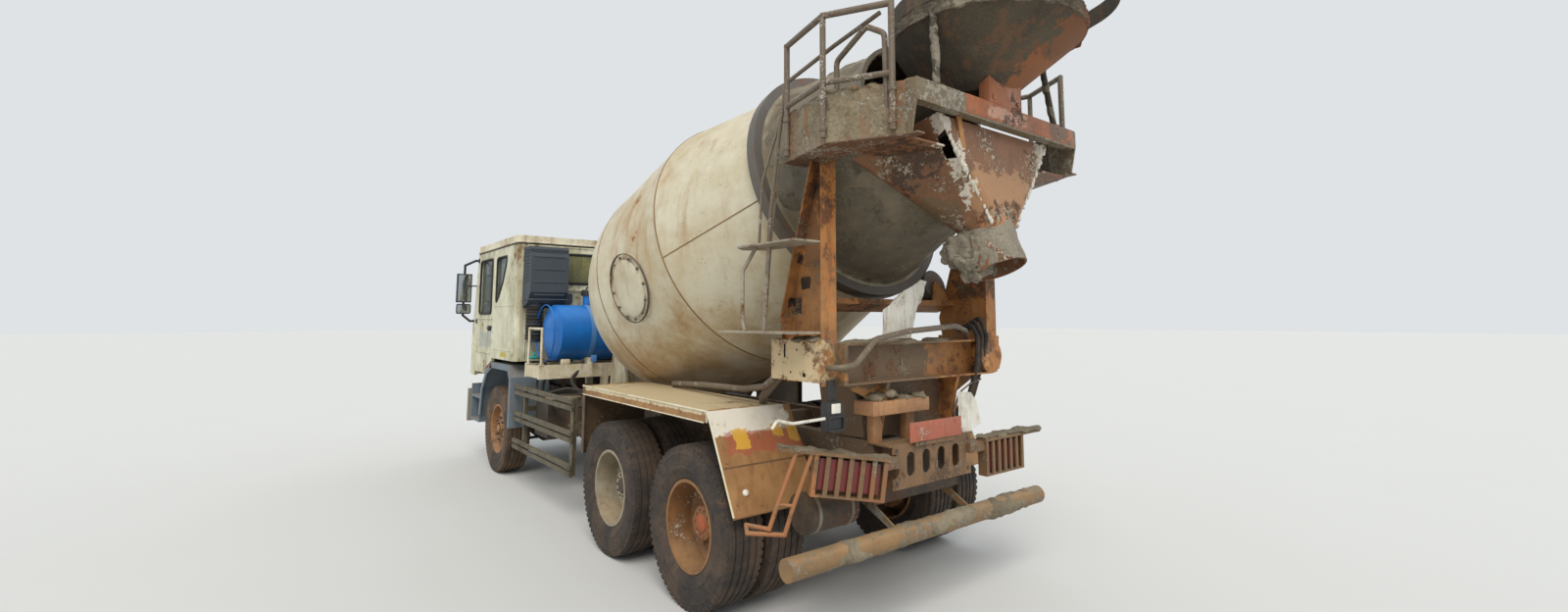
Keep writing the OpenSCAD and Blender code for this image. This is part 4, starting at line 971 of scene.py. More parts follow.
FINISH_LIST = (
    Worn("drum_cream", "cdc5ad", "bcae8e", rust="8f6136", deep_rust="5e4128", dust="b3935f", rusty=0.18, dusty=0.2,
         runs=0.35, scale=0.8, rough=0.55, relief=0.003, stain="aa8046", stained=0.5, chips=0.6, coatings=(
             # Ochre towards the drum's bottom: stains, with painted shade on the drum's lower side.
             Coating((0, 0, 2.05), (0, 0, -1), 0.0, 0.75, "a8793f", "94703f", 0.62),
             Coating(DRUM_BASE, DRUM_AXIS, 1.02, 1.2, "4f473a", "6f6553", 0.95))),
    Worn("cab_cream", "d6d2ba", "c2be9f", rust="7b5a38", deep_rust="4a3526", rusty=0.2, dusty=0.2, runs=0.35,
         scale=1.7, stain="8f8a66", stained=0.5, chips=0.5, patches=(
             Patch((2.66, 1.2, 1.455), (0.13, 0.05, 0.028), "b8a53a", 0.5),
             Patch((2.66, -1.2, 1.455), (0.13, 0.05, 0.028), "b8a53a", 0.5),
             Patch((3.55, 1.22, 1.62), (0.33, 0.06, 0.10), "8f9592", 0.8, 0.6))),
    Worn("roof_cream", "ded6bf", "c9bb98", rusty=0.2, dusty=0.3, runs=0.3, scale=1.5, stained=0.3),
    Worn("arch_grey", "6d7c86", "596870", rusty=0.08, dusty=0.35, runs=0.15, scale=1.8),
    Worn("tank_blue", "0f72c4", "0b5ca6", dust="4d8cb4", rusty=-0.5, dusty=0.12, runs=0.0, rough=0.38, chips=0.1),
    # Lighter blue for the tank bands, partly a painted highlight along them.
    Worn("band_blue", "6f9fd0", "4f84bb", dust="8a97a0", rusty=-0.3, dusty=0.2, runs=0.05, rough=0.45),
    Worn("deck_cream", "d8cfb6", "bfb08c", rusty=0.24, dusty=0.35, runs=0.5, scale=1.6, stained=0.4),
    Worn("chassis_dark", "3d342c", "4d4033", rust="5c3a24", rusty=0.35, dusty=0.5, splashed=0.1, scale=1.5,
         dust="7d6548"),
    Worn("subframe_brown", "6d5a44", "5b4936", rusty=0.4, dusty=0.5, splashed=0.3, scale=1.6, dust="8b7355"),
    Worn("guard_dark", "46402f", "625a45", rust="3b2e24", rusty=0.35, dusty=0.35, runs=0.3, scale=2.2,
         dust="857558"),
    Worn("mudguard_ochre", "a67c4b", "875f37", rust="68401f", dust="a0804f", rusty=0.2, dusty=0.35, runs=0.4,
         scale=1.3, stain="8a5a30", stained=0.6, chips=0.6, splashed=0.12, splash="a3957a", patches=(
             Patch((-1.15, 0.9, 1.3), (1.05, 0.42, 0.03), "d4c6a2", 0.6, 0.85),
             Patch((-1.15, -0.9, 1.3), (1.05, 0.42, 0.03), "d4c6a2", 0.8, 0.8),
             Patch((-2.25, -0.95, 1.235), (0.05, 0.32, 0.085), "ded6c6", 0.6, 0.9),
             Patch((-2.33, -0.86, 1.10), (0.07, 0.30, 0.062), "a04a32", 0.9, 0.6),
             Patch((-2.31, -1.0, 1.12), (0.07, 0.055, 0.055), "d3a02c", 0.8, 0.8),
             # Dark inner faces of the front flanges, under the mudguards: painted shade with dirt.
             Patch((-0.12, -0.9, 0.95), (0.04, 0.5, 0.36), "3b3026", 0.4, 0.9),
             Patch((-0.12, 0.9, 0.95), (0.04, 0.5, 0.36), "3b3026", 0.4, 0.9),
             Patch((-2.25, 0.95, 1.235), (0.05, 0.32, 0.085), "ded6c6", 0.45, 0.95),
             Patch((-2.33, 0.86, 1.10), (0.07, 0.30, 0.062), "a04a32", 0.9, 0.7),
             Patch((-2.31, 1.05, 1.125), (0.07, 0.055, 0.055), "d3a02c", 0.8, 0.85),
             Patch((-2.30, 0.76, 1.15), (0.07, 0.045, 0.04), "d3a02c", 0.9, 0.8),
             Patch((-2.32, 0.62, 1.12), (0.07, 0.05, 0.05), "d3a02c", 0.9, 0.7),
             Patch((-2.39, 0.9, 0.972), (0.012, 0.34, 0.005), "5b3f26", 0.2))),
    Worn("lip_cream", "e0dac9", "cdbd95", rust="9a7a3a", rusty=0.26, dusty=0.15, runs=0.2, scale=2.2, chips=0.6),
    Worn("stand_rust", "b17c45", "85582f", rust="6b4127", deep_rust="251913", dust="8f7350", rusty=0.42, dusty=0.35,
         runs=0.6, splashed=0.3, scale=1.7, splash="8a7a60", stain="bb7431", stained=0.6, chips=0.8, patches=(
             Patch((-2.69, 0.85, 1.635), (0.235, 0.09, 0.125), "cbb58c", 0.3, 0.92),
             Patch((-2.66, 0.80, 1.40), (0.33, 0.2, 0.10), "a9722f", 0.5, 0.7),
             # Lighter orange at the beam's right end: its orange paint, painted lighter as a highlight.
             Patch((-2.97, -0.42, 1.63), (0.06, 0.26, 0.09), "c68f50", 0.7, 0.85),
             Patch((-2.93, 0.35, 1.60), (0.12, 0.46, 0.16), "63523d", 0.6, 0.9),
             # Near-black spots for the burnt holes in the side plate: burnt edges, with painted shade inside the holes.
             Patch((-2.57, 0.78, 2.29), (0.05, 0.04, 0.045), "241812", 0.8),
             Patch((-2.64, 0.78, 2.12), (0.045, 0.04, 0.04), "241812", 0.8),
             Patch((-2.55, 0.78, 1.97), (0.05, 0.04, 0.05), "241812", 0.8),
             Patch((-2.78, 0.78, 2.72), (0.06, 0.04, 0.06), "2e2119", 0.8),
             Patch((-2.70, 0.78, 2.45), (0.10, 0.05, 0.22), "6b4a30", 1.6, 0.75),
             Patch((-2.86, 0.78, 2.0), (0.05, 0.05, 0.35), "c06c2c", 1.4, 0.6))),
    Worn("ladder_pale", "a39985", "76695a", rust="6d452b", rusty=0.5, dusty=0.2, runs=0.3, splashed=0.3, scale=3.0,
         splash="c4bbaa", chips=0.6),
    Worn("platform_grey", "7d6d54", "62543e", rust="6f4a30", deep_rust="4a3023", rusty=0.22, dusty=0.2, runs=0.55,
         splashed=0.75, scale=1.6, relief=0.009, splash="a39a86", coatings=(
             Coating((0, 0, 2.892), (0, 0, -1), 0.0, 0.012, "5f3b28", "7a4a30", 0.9),)),
    Worn("cross_red", "a8653c", "84492b", rust="573022", rusty=0.42, dusty=0.15, splashed=0.25, scale=2.6, chips=0.8,
         stain="c79a80", stained=0.6, patches=(
             Patch((-3.64, -0.02, 3.135), (0.03, 0.20, 0.036), "c39a84", 0.7, 0.7),
             Patch((-3.64, -0.62, 3.14), (0.03, 0.12, 0.05), "5d4a36", 1.2, 0.8))),
    Worn("rail_brown", "746654", "594c3d", rust="6a4934", rusty=0.3, dusty=0.15, splashed=0.35, scale=3.0, rough=0.5,
         splash="b3aa98"),
    Worn("collector_rust", "83593b", "634229", rust="523220", deep_rust="1a120e", dust="8c6f4c", rusty=0.4,
         dusty=0.2, runs=0.5, splashed=0.36, scale=1.6, stain="9c6a40", stained=0.7, chips=1.0, splash="b0a48e",
         # The near-black patch stands for a gap between lumps: painted shade.
         patches=(Patch((-3.35, 0.62, 2.72), (0.17, 0.17, 0.16), "2a1c15", 1.3, 0.75, 20.0),
                  Patch((-3.30, 0.33, 2.50), (0.16, 0.16, 0.12), "5d4f36", 0.9, 0.7),
                  Patch((-3.60, 0.0, 2.60), (0.05, 0.34, 0.18), "a97f58", 0.8, 0.75),
                  Patch((-3.60, 0.05, 2.43), (0.06, 0.2, 0.07), "b5703a", 0.9, 0.7),
                  Patch((-3.57, 0.53, 2.97), (0.05, 0.06, 0.13), "c8bfae", 1.9, 0.9, 30.0),
                  Patch((-3.57, 0.43, 2.78), (0.05, 0.07, 0.13), "c8bfae", 1.9, 0.9, 30.0),
                  Patch((-3.57, 0.35, 2.56), (0.05, 0.08, 0.13), "cfc6b6", 1.9, 0.9, 30.0),
                  Patch((-3.57, -0.47, 2.88), (0.05, 0.06, 0.2), "c8bfae", 1.9, 0.9, 30.0))),
    Worn("tail_rust", "80603f", "664a30", rust="4f3525", deep_rust="2c1f17", dust="8a7252", rusty=0.3, dusty=0.4,
         splashed=0.3, scale=2.0, splash="857a64", patches=(
             Patch((-2.78, 1.12, 0.80), (0.16, 0.22, 0.28), "a5683c", 0.5, 0.8),
             Patch((-3.09, 0.68, 0.88), (0.08, 0.22, 0.14), "8c5a38", 0.9, 0.6))),
    Worn("box_tan", "ad7f55", "8d6240", rusty=0.2, dusty=0.2, splashed=0.1, scale=3.0, chips=0.6),
    Worn("plate_red", "b0604a", "96503a", rusty=0.15, dusty=0.25, scale=4.0, splash="cfc7b8", splashed=0.25),
    Worn("bumper_grey", "8b8678", "777063", rusty=0.2, dusty=0.4, scale=1.8),
    Worn("underrun_ochre", "8f6e45", "6f5436", rust="7b5330", rusty=0.15, dusty=0.3, splashed=0.5, scale=1.5,
         splash="8d8676", relief=0.008),
    Worn("rim_orange", "a97a50", "86603f", rust="6c4026", rusty=0.25, dusty=0.4, scale=2.5),
    Worn("rim_grey", "a59b84", "877c66", rust="6c4a30", rusty=0.2, dusty=0.4, scale=2.5),
    Worn("rim_rust", "966a3f", "704b2b", rust="5c3520", rusty=0.35, dusty=0.3, scale=2.2, splashed=0.25,
         splash="c7bca4"),
    Worn("hub_orange", "b3592e", "94502e", rust="6a3a22", rusty=0.25, dusty=0.3, scale=3.0),
    Worn("axle_dirt", "4f4336", "3f362c", rusty=0.3, dusty=0.6, splashed=0.2, scale=1.8, dust="7d664a"),
    Worn("ring_black", "5f5a52", "443d35", rusty=0.2, dusty=0.3, scale=2.0, rough=0.5),
    Worn("weld_brown", "6e5232", "8a6a42", rusty=0.3, dusty=0.1, scale=3.0),
    Worn("white_worn", "e4e0d4", "d2cab8", rusty=0.12, dusty=0.1, splashed=0.2, scale=3.2, splash="8d8676"),
    Crust("hopper_crust", base="4f4638", pale="7d725d", rusty=0.5, relief=0.02, patches=(
        Patch((-3.9, -0.45, 3.68), (0.3, 0.3, 0.06), "7f4428", 1.3, 0.75),
        Patch((-3.95, 0.38, 3.69), (0.25, 0.2, 0.05), "9d927c", 1.5, 0.6))),
    Crust("hopper_skin", base="40382d", pale="5d5342", rusty=0.5, coarse=1.6, relief=0.006, streaks=0.35,
          patches=(
        Patch((-3.95, -0.28, 3.55), (0.28, 0.26, 0.13), "80502f", 1.4, 0.8, 14.0),
        Patch((-3.72, -0.16, 3.40), (0.12, 0.18, 0.10), "935d38", 1.3, 0.8, 14.0))),
    Crust("spout_crust", base="6f6657", pale="9a907d", rusty=0.3, relief=0.018),
    Crust("caked_ledge", base="6b5f4b", pale="8f826a", pit="4d4232", rusty=0.25, relief=0.014),
    Crust("drip_white", base="b9b09d", pale="d6d0c2", pit="7a6d5a", rusty=0.1, relief=0.008),
    Crust("drum_crust", base="5d5444", pale="7a705c", pit="3a332a", rusty=0.2, relief=0.014),
    Rubber(),
    Rubber("dusty_rubber", "332c26", "7a5e43", 0.75),
    Plain("black_plastic", "1d1f21", "4b453c", 0.45, 0.55),
    Plain("intake_grey", "3d434a", "2c3137", 0.35, 0.6),
    # Lighter blue for the tank bands, partly a painted highlight along them.
    Worn("band_blue", "5b8fc6", "3f74ad", dust="7d8a92", rusty=0.1, dusty=0.3, runs=0.05, rough=0.45),
    Pane("rear_pane", "74724e", "98905f", 0.8),
    # Near-black for the inside of holes: painted shade.
    Plain("dark_hole", "17120e", "2a211a", 0.4, 0.95),
    Crust("platform_cake", base="6d604a", pale="93866c", pit="43382a", rusty=0.5, relief=0.012, streaks=0.7),
    Plain("dark_lining", "55514a", "3b352d", 0.4, 0.8),
    Plain("hose_black", "24211e", "6a5844", 0.6, 0.7),
    Plain("mirror_face", "a8acae", "6b655b", 0.3, 0.12, metal=1.0),
    Plain("red_lens", "6b1512", "463429", 0.8, 0.35, coat=0.4),
    Plain("orange_lens", "c2561c", "5b4230", 0.35, 0.3, coat=0.4),
    Plain("clear_lens", "c9c9c2", "6d6558", 0.4, 0.15, coat=0.5),
    Plain("teal_valve", "2f8f86", "4a5248", 0.3, 0.45),
    Plain("rubber_seal", "191817", "514a40", 0.4, 0.75),
    Pane(),
    Weave(),
)

NODE_FINISHES = {
    "chassis_dark": ("chassis_frame", "side_tanks"),
    "subframe_brown": ("mixer_subframe",),
    "axle_dirt": ("front_axle", "knuckle_left", "knuckle_right", "track_rod", "rear_axles", "leaf_springs",
                  "driveline", "engine_block", "drum_gearbox"),
    "dusty_rubber": ("front_tyre_left", "front_tyre_right"),
    "old_rubber": ("first_tyres_left", "first_tyres_right", "second_tyres_left", "second_tyres_right"),
    "rim_orange": ("front_rim_left", "front_rim_right"),
    "rim_grey": ("first_rims_left", "first_rims_right"),
    "rim_rust": ("second_rims_left", "second_rims_right"),
    "bumper_grey": ("front_bumper",),
    "red_lens": ("lamps",),
    "dark_lining": ("cab_floor",),
    "cab_cream": ("cab_rear_wall", "cab_side_panels", "cab_front_panel", "door_left", "door_right"),
    "roof_cream": ("cab_roof",),
    "dusty_glass": ("cab_glass", "door_glass_left", "door_glass_right"),
    "black_plastic": ("dashboard", "mirrors"),
    "intake_grey": ("air_intake",),
    "seat_weave": ("seats",),
    "arch_grey": ("arch_guards",),
    "tank_blue": ("water_tank",),
    "deck_cream": ("tank_deck", "front_pedestal"),
    "guard_dark": ("side_guards",),
    "mudguard_ochre": ("rear_mudguards",),
    "drum_cream": ("drum_shell",),
    "stand_rust": ("rear_pedestal",),
    "ladder_pale": ("ladder",),
    "ring_black": ("roller_left", "roller_right"),
    "hopper_skin": ("feed_hopper",),
    "platform_grey": ("platform",),
    "rail_brown": ("guard_rails",),
    "collector_rust": ("collector",),
    "tail_rust": ("tail_board",),
    "underrun_ochre": ("underrun_bar",),
}


@dataclass
class Assembly:
    """A sub-assembly of the truck, which keeps the pieces that it builds."""

    finishes: Finishes
    pieces: list[bpy.types.Object] = field(default_factory=list)

    def add(self, shape: Shape, name: str, finish: str, body: str = "chassis", like: Optional[str] = None,
            smooth: float = 35.0) -> bpy.types.Object:
        """Finish a shape as a piece of this sub-assembly.

        Args:
            shape: The shape.
            name: The piece's name.
            finish: The name of its finish.
            body: The body that it moves with.
            like: A node of the model; not used.
            smooth: Edges sharper than this many degrees stay sharp.

        Returns:
            The piece.
        """
        piece = shape.done(name, self.finishes[finish], body, smooth)
        self.pieces.append(piece)
        return piece

    def build(self) -> list[bpy.types.Object]:
        """Build the sub-assembly.

        Returns:
            Its pieces.
        """
        self.make()
        return self.pieces

    def make(self) -> None:
        """Make every piece."""
        raise NotImplementedError


@dataclass
class Tyres(Assembly):
    """Ten worn tyres with ribbed tread, in place of the plain ones."""

    wheel_z: float = 0.525
    front: Pair = (2.967, 1.03)
    rear_x: tuple[tuple[str, float], ...] = (("first", -0.666), ("second", -1.940))
    rear_y: Pair = (1.105, 0.775)
    notches: int = 66

    def make(self) -> None:
        """Build the front tyres and the four pairs at the rear."""
        for side in Side:
            word = side.word
            self._tyre(f"front_tyre_{word}", f"front_wheel_{word}", side, self.front[0], self.front[1:],
                       "dusty_rubber")
            for pair, x in self.rear_x:
                self._tyre(f"{pair}_tyres_{word}", f"{pair}_wheels_{word}", side, x, self.rear_y, "old_rubber")

    def _tyre(self, node: str, body: str, side: Side, x: float, reaches: Sequence[float], finish: str) -> None:
        """Build the tyres of one node.

        Args:
            node: The node that they stand for.
            body: The body that they roll with.
            side: Their side.
            x: Where their axle is.
            reaches: How far out each stands.
            finish: Their finish.
        """
        shape = Shape()
        for reach in reaches:
            centre = Vector((x, side.value * reach, self.wheel_z))
            self._carcass(shape, centre)
            self._notch(shape, centre)
        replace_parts(self.add(shape, f"{node}_worn", finish, body, node, 30.0), node)

    def _carcass(self, shape: Shape, centre: Vector) -> None:
        """Spin a tyre's body, with ridges on its walls and grooves in its crown.

        Args:
            shape: The shape that it is added to.
            centre: Its middle.
        """
        half = [(0.289, 0.094), (0.300, 0.098), (0.304, 0.113), (0.330, 0.128), (0.366, 0.135), (0.371, 0.1390),
                (0.381, 0.1388), (0.386, 0.1362), (0.440, 0.1388), (0.460, 0.137), (0.465, 0.1396), (0.474, 0.138),
                (0.480, 0.133), (0.500, 0.130), (0.515, 0.124), (0.5205, 0.116), (0.5225, 0.084), (0.511, 0.080),
                (0.511, 0.072), (0.5235, 0.068), (0.524, 0.031), (0.512, 0.027), (0.512, 0.019), (0.5245, 0.015)]
        shape.lathe(half + [(r, -s) for r, s in reversed(half)] + half[:1], centre, (0, 1, 0), 60)

    def _notch(self, shape: Shape, centre: Vector) -> None:
        """Set the small blocks of both shoulders round a tyre.

        Args:
            shape: The shape that it is added to.
            centre: Its middle.
        """
        for i in range(self.notches):
            for sign in (-1, 1):
                angle = 2 * math.pi * (i + 0.25 * sign) / self.notches
                shape.cube(Matrix.Translation(centre) @ Matrix.Rotation(angle, 4, "Y")
                           @ Matrix.Translation((0, sign * 0.1215, 0.506)) @ Matrix.Diagonal((0.028, 0.021, 0.0235, 1)))


@dataclass
class Wheels(Assembly):
    """Nuts, clamp rings, hub flanges and lock rings on the rims."""

    wheel_z: float = 0.525
    front_x: float = 2.967
    rear: tuple[tuple[str, float, str, str], ...] = (
        ("first", -0.666, "rim_grey", "axle_dirt"), ("second", -1.940, "rim_rust", "hub_orange"))

    def make(self) -> None:
        """Dress the six hubs."""
        for side in Side:
            self._front(side)
            for pair, x, paint, hub in self.rear:
                self._rear(pair, side, x, paint, hub)

    def _lock_ring(self, shape: Shape, centre: Point, axis: Point, place: float) -> None:
        """Add the split ring that holds a tyre on its rim."""
        ring = [(0.281, -0.006), (0.292, -0.007), (0.298, -0.002), (0.298, 0.003), (0.292, 0.007), (0.281, 0.004)]
        shape.lathe([(r, s + place) for r, s in ring + ring[:1]], centre, axis, 56)

    def _front(self, side: Side) -> None:
        """Dress a front wheel.

        Args:
            side: Its side.
        """
        node, body, axis = f"front_rim_{side.word}", f"front_wheel_{side.word}", (0, side.value, 0)
        centre = (self.front_x, 0, self.wheel_z)
        shape = Shape()
        shape.lathe([(0.116, 1.097), (0.166, 1.093), (0.168, 1.100), (0.163, 1.105), (0.122, 1.107), (0.116, 1.103),
                     (0.116, 1.097)], centre, axis, 40)
        shape.lathe([(0.0, 1.147), (0.030, 1.145), (0.046, 1.138), (0.051, 1.130), (0.078, 1.130), (0.084, 1.124),
                     (0.084, 1.096), (0.0, 1.096)], centre, axis, 36)
        self._lock_ring(shape, centre, axis, 1.136)
        self.add(shape, f"front_hub_{side.word}", "rim_orange", body, node)
        bolts = Shape()
        seat = (self.front_x, side.value * 1.105, self.wheel_z)
        bolts.knots(seat, axis, 0.142, 10, 0.0150, 0.022).knots(seat, axis, 0.142, 10, 0.0075, 0.034, 8)
        bolts.knots((self.front_x, side.value * 1.129, self.wheel_z), axis, 0.066, 8, 0.0070, 0.009)
        self.add(bolts, f"front_nuts_{side.word}", "axle_dirt", body, node)

    def _rear(self, pair: str, side: Side, x: float, paint: str, hub: str) -> None:
        """Dress a pair of rear wheels.

        Args:
            pair: The pair of wheels.
            side: Its side.
            x: Where its axle is.
            paint: The rim's finish.
            hub: The hub's finish.
        """
        node, body, axis = f"{pair}_rims_{side.word}", f"{pair}_wheels_{side.word}", (0, side.value, 0)
        centre = (x, 0, self.wheel_z)
        shape = Shape()
        shape.lathe([(0.116, 0.952), (0.186, 0.952), (0.188, 0.960), (0.182, 0.965), (0.124, 0.967), (0.116, 0.962),
                     (0.116, 0.952)], centre, axis, 40)
        self._lock_ring(shape, centre, axis, 1.211)
        shape.pipe([(x + 0.236, side.value * 0.985, self.wheel_z), (x + 0.247, side.value * 1.05, self.wheel_z)],
                   0.005, 8)
        self.add(shape, f"{pair}_clamp_{side.word}", paint, body, node)
        cap = Shape()
        cap.lathe([(0.0, 1.128), (0.038, 1.126), (0.058, 1.119), (0.064, 1.1095), (0.100, 1.1095), (0.110, 1.103),
                   (0.110, 1.086), (0.106, 1.083), (0.106, 1.040), (0.112, 1.037), (0.112, 1.022), (0.106, 1.019),
                   (0.106, 0.990), (0.0, 0.990)], centre, axis, 40)
        cap.knots((x, side.value * 1.109, self.wheel_z), axis, 0.084, 10, 0.0085, 0.010)
        self.add(cap, f"{pair}_hub_{side.word}", hub, body, node)
        nuts = Shape()
        seat = (x, side.value * 0.965, self.wheel_z)
        nuts.knots(seat, axis, 0.152, 10, 0.0165, 0.026).knots(seat, axis, 0.152, 10, 0.0085, 0.040, 8)
        self.add(nuts, f"{pair}_nuts_{side.word}", "hub_orange" if pair == "second" else "axle_dirt", body, node)


@dataclass
class CabTrim(Assembly):
    """Seals, press lines, gutters, handles and hinges on the sides and rear of the cab."""

    rear_x: float = 2.207
    half: float = 1.2
    window: tuple[float, float, float] = (0.63, 2.33, 2.69)
    quarter: tuple[Pair, ...] = ((3.077, 2.67), (2.637, 2.67), (2.667, 2.56), (2.787, 2.35), (2.947, 2.18),
                                 (3.077, 2.08))
    door_window: tuple[float, float, float, float] = (3.287, 3.887, 1.96, 2.68)

    def make(self) -> None:
        """Build the trim."""
        self._seals()
        self._press_lines()
        self._gutters()
        for side in Side:
            self._door(side)

    def _seals(self) -> None:
        """Run black rubber round the rear and quarter windows."""
        half, low, high = self.window
        x = self.rear_x
        seals = Shape().loop([(x, -half, low), (x, half, low), (x, half, high), (x, -half, high)], 0.017, 8, 0.07)
        for side in Side:
            y = side.value * (self.half + 0.002)
            seals.loop([(px, y, pz) for px, pz in self.quarter], 0.013, 8, 0.05)
        self.add(seals, "cab_window_seals", "rubber_seal", "cab", "cab_glass")

    def _press_lines(self) -> None:
        """Raise the ridges and seams of the rear wall and the side panels."""
        x = self.rear_x
        lines = Shape()
        lines.block((x - 0.012, -1.02, 2.225), (x + 0.006, 1.02, 2.262), 0.008)
        for z in (1.62, 1.95, 2.765):
            lines.block((x - 0.004, -1.08, z), (x + 0.006, 1.08, z + 0.022), 0.003)
        for y in (-1.085, 1.085):
            lines.block((x - 0.003, y - 0.008, 1.42), (x + 0.006, y + 0.008, 2.79), 0.002)
        for side in Side:
            y = side.value * self.half
            for low, high in (((2.30, 2.045), (3.15, 2.063)), ((2.30, 1.500), (3.15, 1.518))):
                lines.block((low[0], y - 0.004, low[1]), (high[0], y + 0.004, high[1]), 0.003)
            lines.block((3.172, y - 0.005, 1.42), (3.190, y + 0.005, 2.78), 0.004)
        self.add(lines, "cab_press_lines", "cab_cream", "cab", "cab_rear_wall")

    def _gutters(self) -> None:
        """Run the rain gutter along the roof's edge, with its dark joint below."""
        rim, joint = Shape(), Shape()
        corners = [(4.03, 1.204, 2.812), (2.235, 1.204, 2.812), (2.205, 1.17, 2.812), (2.205, -1.17, 2.812),
                   (2.235, -1.204, 2.812), (4.03, -1.204, 2.812)]
        rim.pipe(corners, 0.012, 8, 0.03, 1.4)
        joint.pipe([(x, y * 0.9985, z - 0.019) for x, y, z in corners], 0.006, 6, 0.03)
        rim.block((2.50, -0.45, 2.874), (3.35, 0.45, 2.888), 0.006)
        self.add(rim, "roof_gutter", "roof_cream", "cab", "cab_roof")
        self.add(joint, "roof_joint", "rubber_seal", "cab", "cab_roof")

    def _door(self, side: Side) -> None:
        """Dress one door: window seal, waist ridge, handle in its recess and hinge leaves.

        Args:
            side: Its side.
        """
        s, body, node = side.value, f"door_{side.word}", f"door_{side.word}"
        x0, x1, z0, z1 = self.door_window
        y = s * (self.half + 0.006)
        seal = Shape().loop([(x0, y, z0), (x1, y, z0), (x1, y, z1), (x0, y, z1)], 0.013, 8, 0.06)
        recess = [(3.242, 1.735), (3.395, 1.735), (3.405, 1.800), (3.232, 1.800)]
        seal.plate([(px, y - s * 0.004, pz) for px, pz in recess], (0, s * 0.008, 0), 0.002)
        self.add(seal, f"door_seal_{side.word}", "rubber_seal", body, f"door_glass_{side.word}")
        handle = Shape().pipe([(3.258, y, 1.770), (3.272, y + s * 0.016, 1.774), (3.372, y + s * 0.016, 1.774),
                               (3.386, y, 1.770)], 0.009, 8, 0.01)
        handle.drum((3.418, y + s * 0.002, 1.768), (0, s, 0), 0.012, 0.010, 16, 0.002)
        self.add(handle, f"door_handle_{side.word}", "black_plastic", body)
        ridge = Shape()
        ridge.block((3.235, y - s * 0.006, 1.885), (3.945, y + s * 0.004, 1.905), 0.004)
        ridge.block((3.235, y - s * 0.006, 1.440), (3.945, y + s * 0.004, 1.456), 0.004)
        for z in (1.5, 2.4):
            ridge.block((3.900, y - s * 0.006, z - 0.045), (3.962, y + s * 0.008, z + 0.045), 0.004)
            for x in (3.915, 3.945):
                ridge.drum((x, y + s * 0.010, z), (0, s, 0), 0.007, 0.006, 6)
        self.add(ridge, f"door_ridges_{side.word}", "cab_cream", body, node)


@dataclass
class CabFront(Assembly):
    """The front, which the photograph doesn't show: grille, seals, wipers and lamps, kept plain."""

    face_x: float = 4.25
    slats: int = 6
    pane: tuple[Pair, Pair] = ((4.220, 1.89), (4.060, 2.80))
    pane_half: float = 1.02
    lamp_profile: tuple[Pair, ...] = ((0.0, 4.3192), (0.050, 4.3188), (0.084, 4.3180), (0.0915, 4.3165),
                                      (0.0915, 4.280), (0.088, 4.280), (0.088, 4.300), (0.0, 4.300))

    def make(self) -> None:
        """Build the front's pieces."""
        self._grille()
        self._screen()
        self._lamps()

    def _on_pane(self, y: float, share: float, out: float) -> Vector:
        """A point on the windscreen, some way up it and out from it.

        Args:
            y: How far left it is.
            share: How far up the pane it is.
            out: How far out it stands.

        Returns:
            The point.
        """
        low, high = (Vector((x, 0, z)) for x, z in self.pane)
        normal = Vector((high.z - low.z, 0, low.x - high.x)).normalized()
        return low.lerp(high, share) + normal * out + Vector((0, y, 0))

    def _grille(self) -> None:
        """Set slats in a frame, with the crease of the panel round it."""
        x = self.face_x
        slats = Shape()
        for i in range(self.slats):
            z = 1.27 + i * 0.068
            slats.block((x - 0.014, -0.80, z), (x + 0.012, 0.80, z + 0.034), 0.007,
                        Matrix.Rotation(math.radians(-14), 4, "Y"))
        for y in (-0.8, -0.27, 0.27, 0.8):
            slats.block((x - 0.006, y - 0.012, 1.25), (x + 0.005, y + 0.012, 1.665), 0.004)
        self.add(slats, "grille_slats", "black_plastic", "cab")
        crease = Shape().loop([(x, -0.86, 1.215), (x, 0.86, 1.215), (x, 0.86, 1.70), (x, -0.86, 1.70)], 0.010, 8, 0.05)
        crease.block((x - 0.006, -1.10, 1.780), (x + 0.006, 1.10, 1.800), 0.004)
        self.add(crease, "grille_crease", "cab_cream", "cab", "cab_front_panel")

    def _screen(self) -> None:
        """Run the windscreen's seal and lay its two wipers."""
        half = self.pane_half
        corners = [self._on_pane(y, t, 0.002) for y, t in ((-half, 0.06), (half, 0.06), (half, 0.90), (-half, 0.90))]
        rubber = Shape().loop(corners, 0.016, 8, 0.08)
        for y in (-0.62, 0.28):
            rubber.pipe([self._on_pane(y, 0.035, 0.026), self._on_pane(y + 0.04, 0.10, 0.040),
                         self._on_pane(y + 0.40, 0.13, 0.034)], 0.0075, 6, 0.02)
            rubber.pipe([self._on_pane(y + 0.10, 0.12, 0.022), self._on_pane(y + 0.66, 0.15, 0.022)], 0.006, 6)
            rubber.drum(self._on_pane(y, 0.03, 0.012), (1, 0, 0.17), 0.020, 0.05, 12, 0.004)
        self.add(rubber, "windscreen_rubber", "rubber_seal", "cab", "cab_glass")

    def _lamps(self) -> None:
        """Set lenses on the head lamps and lamps of a turn signal beside them."""
        glass, amber = Shape(), Shape()
        for side in Side:
            y = side.value * 0.9
            glass.lathe(self.lamp_profile, (0, y, 0.70), (1, 0, 0), 40)
            amber.block((4.292, side.value * 1.125 - 0.055, 0.650), (4.3185, side.value * 1.125 + 0.055, 0.755), 0.012)
        self.add(glass, "head_lenses", "clear_lens", like="lamps")
        self.add(amber, "signal_lenses", "orange_lens", like="lamps")


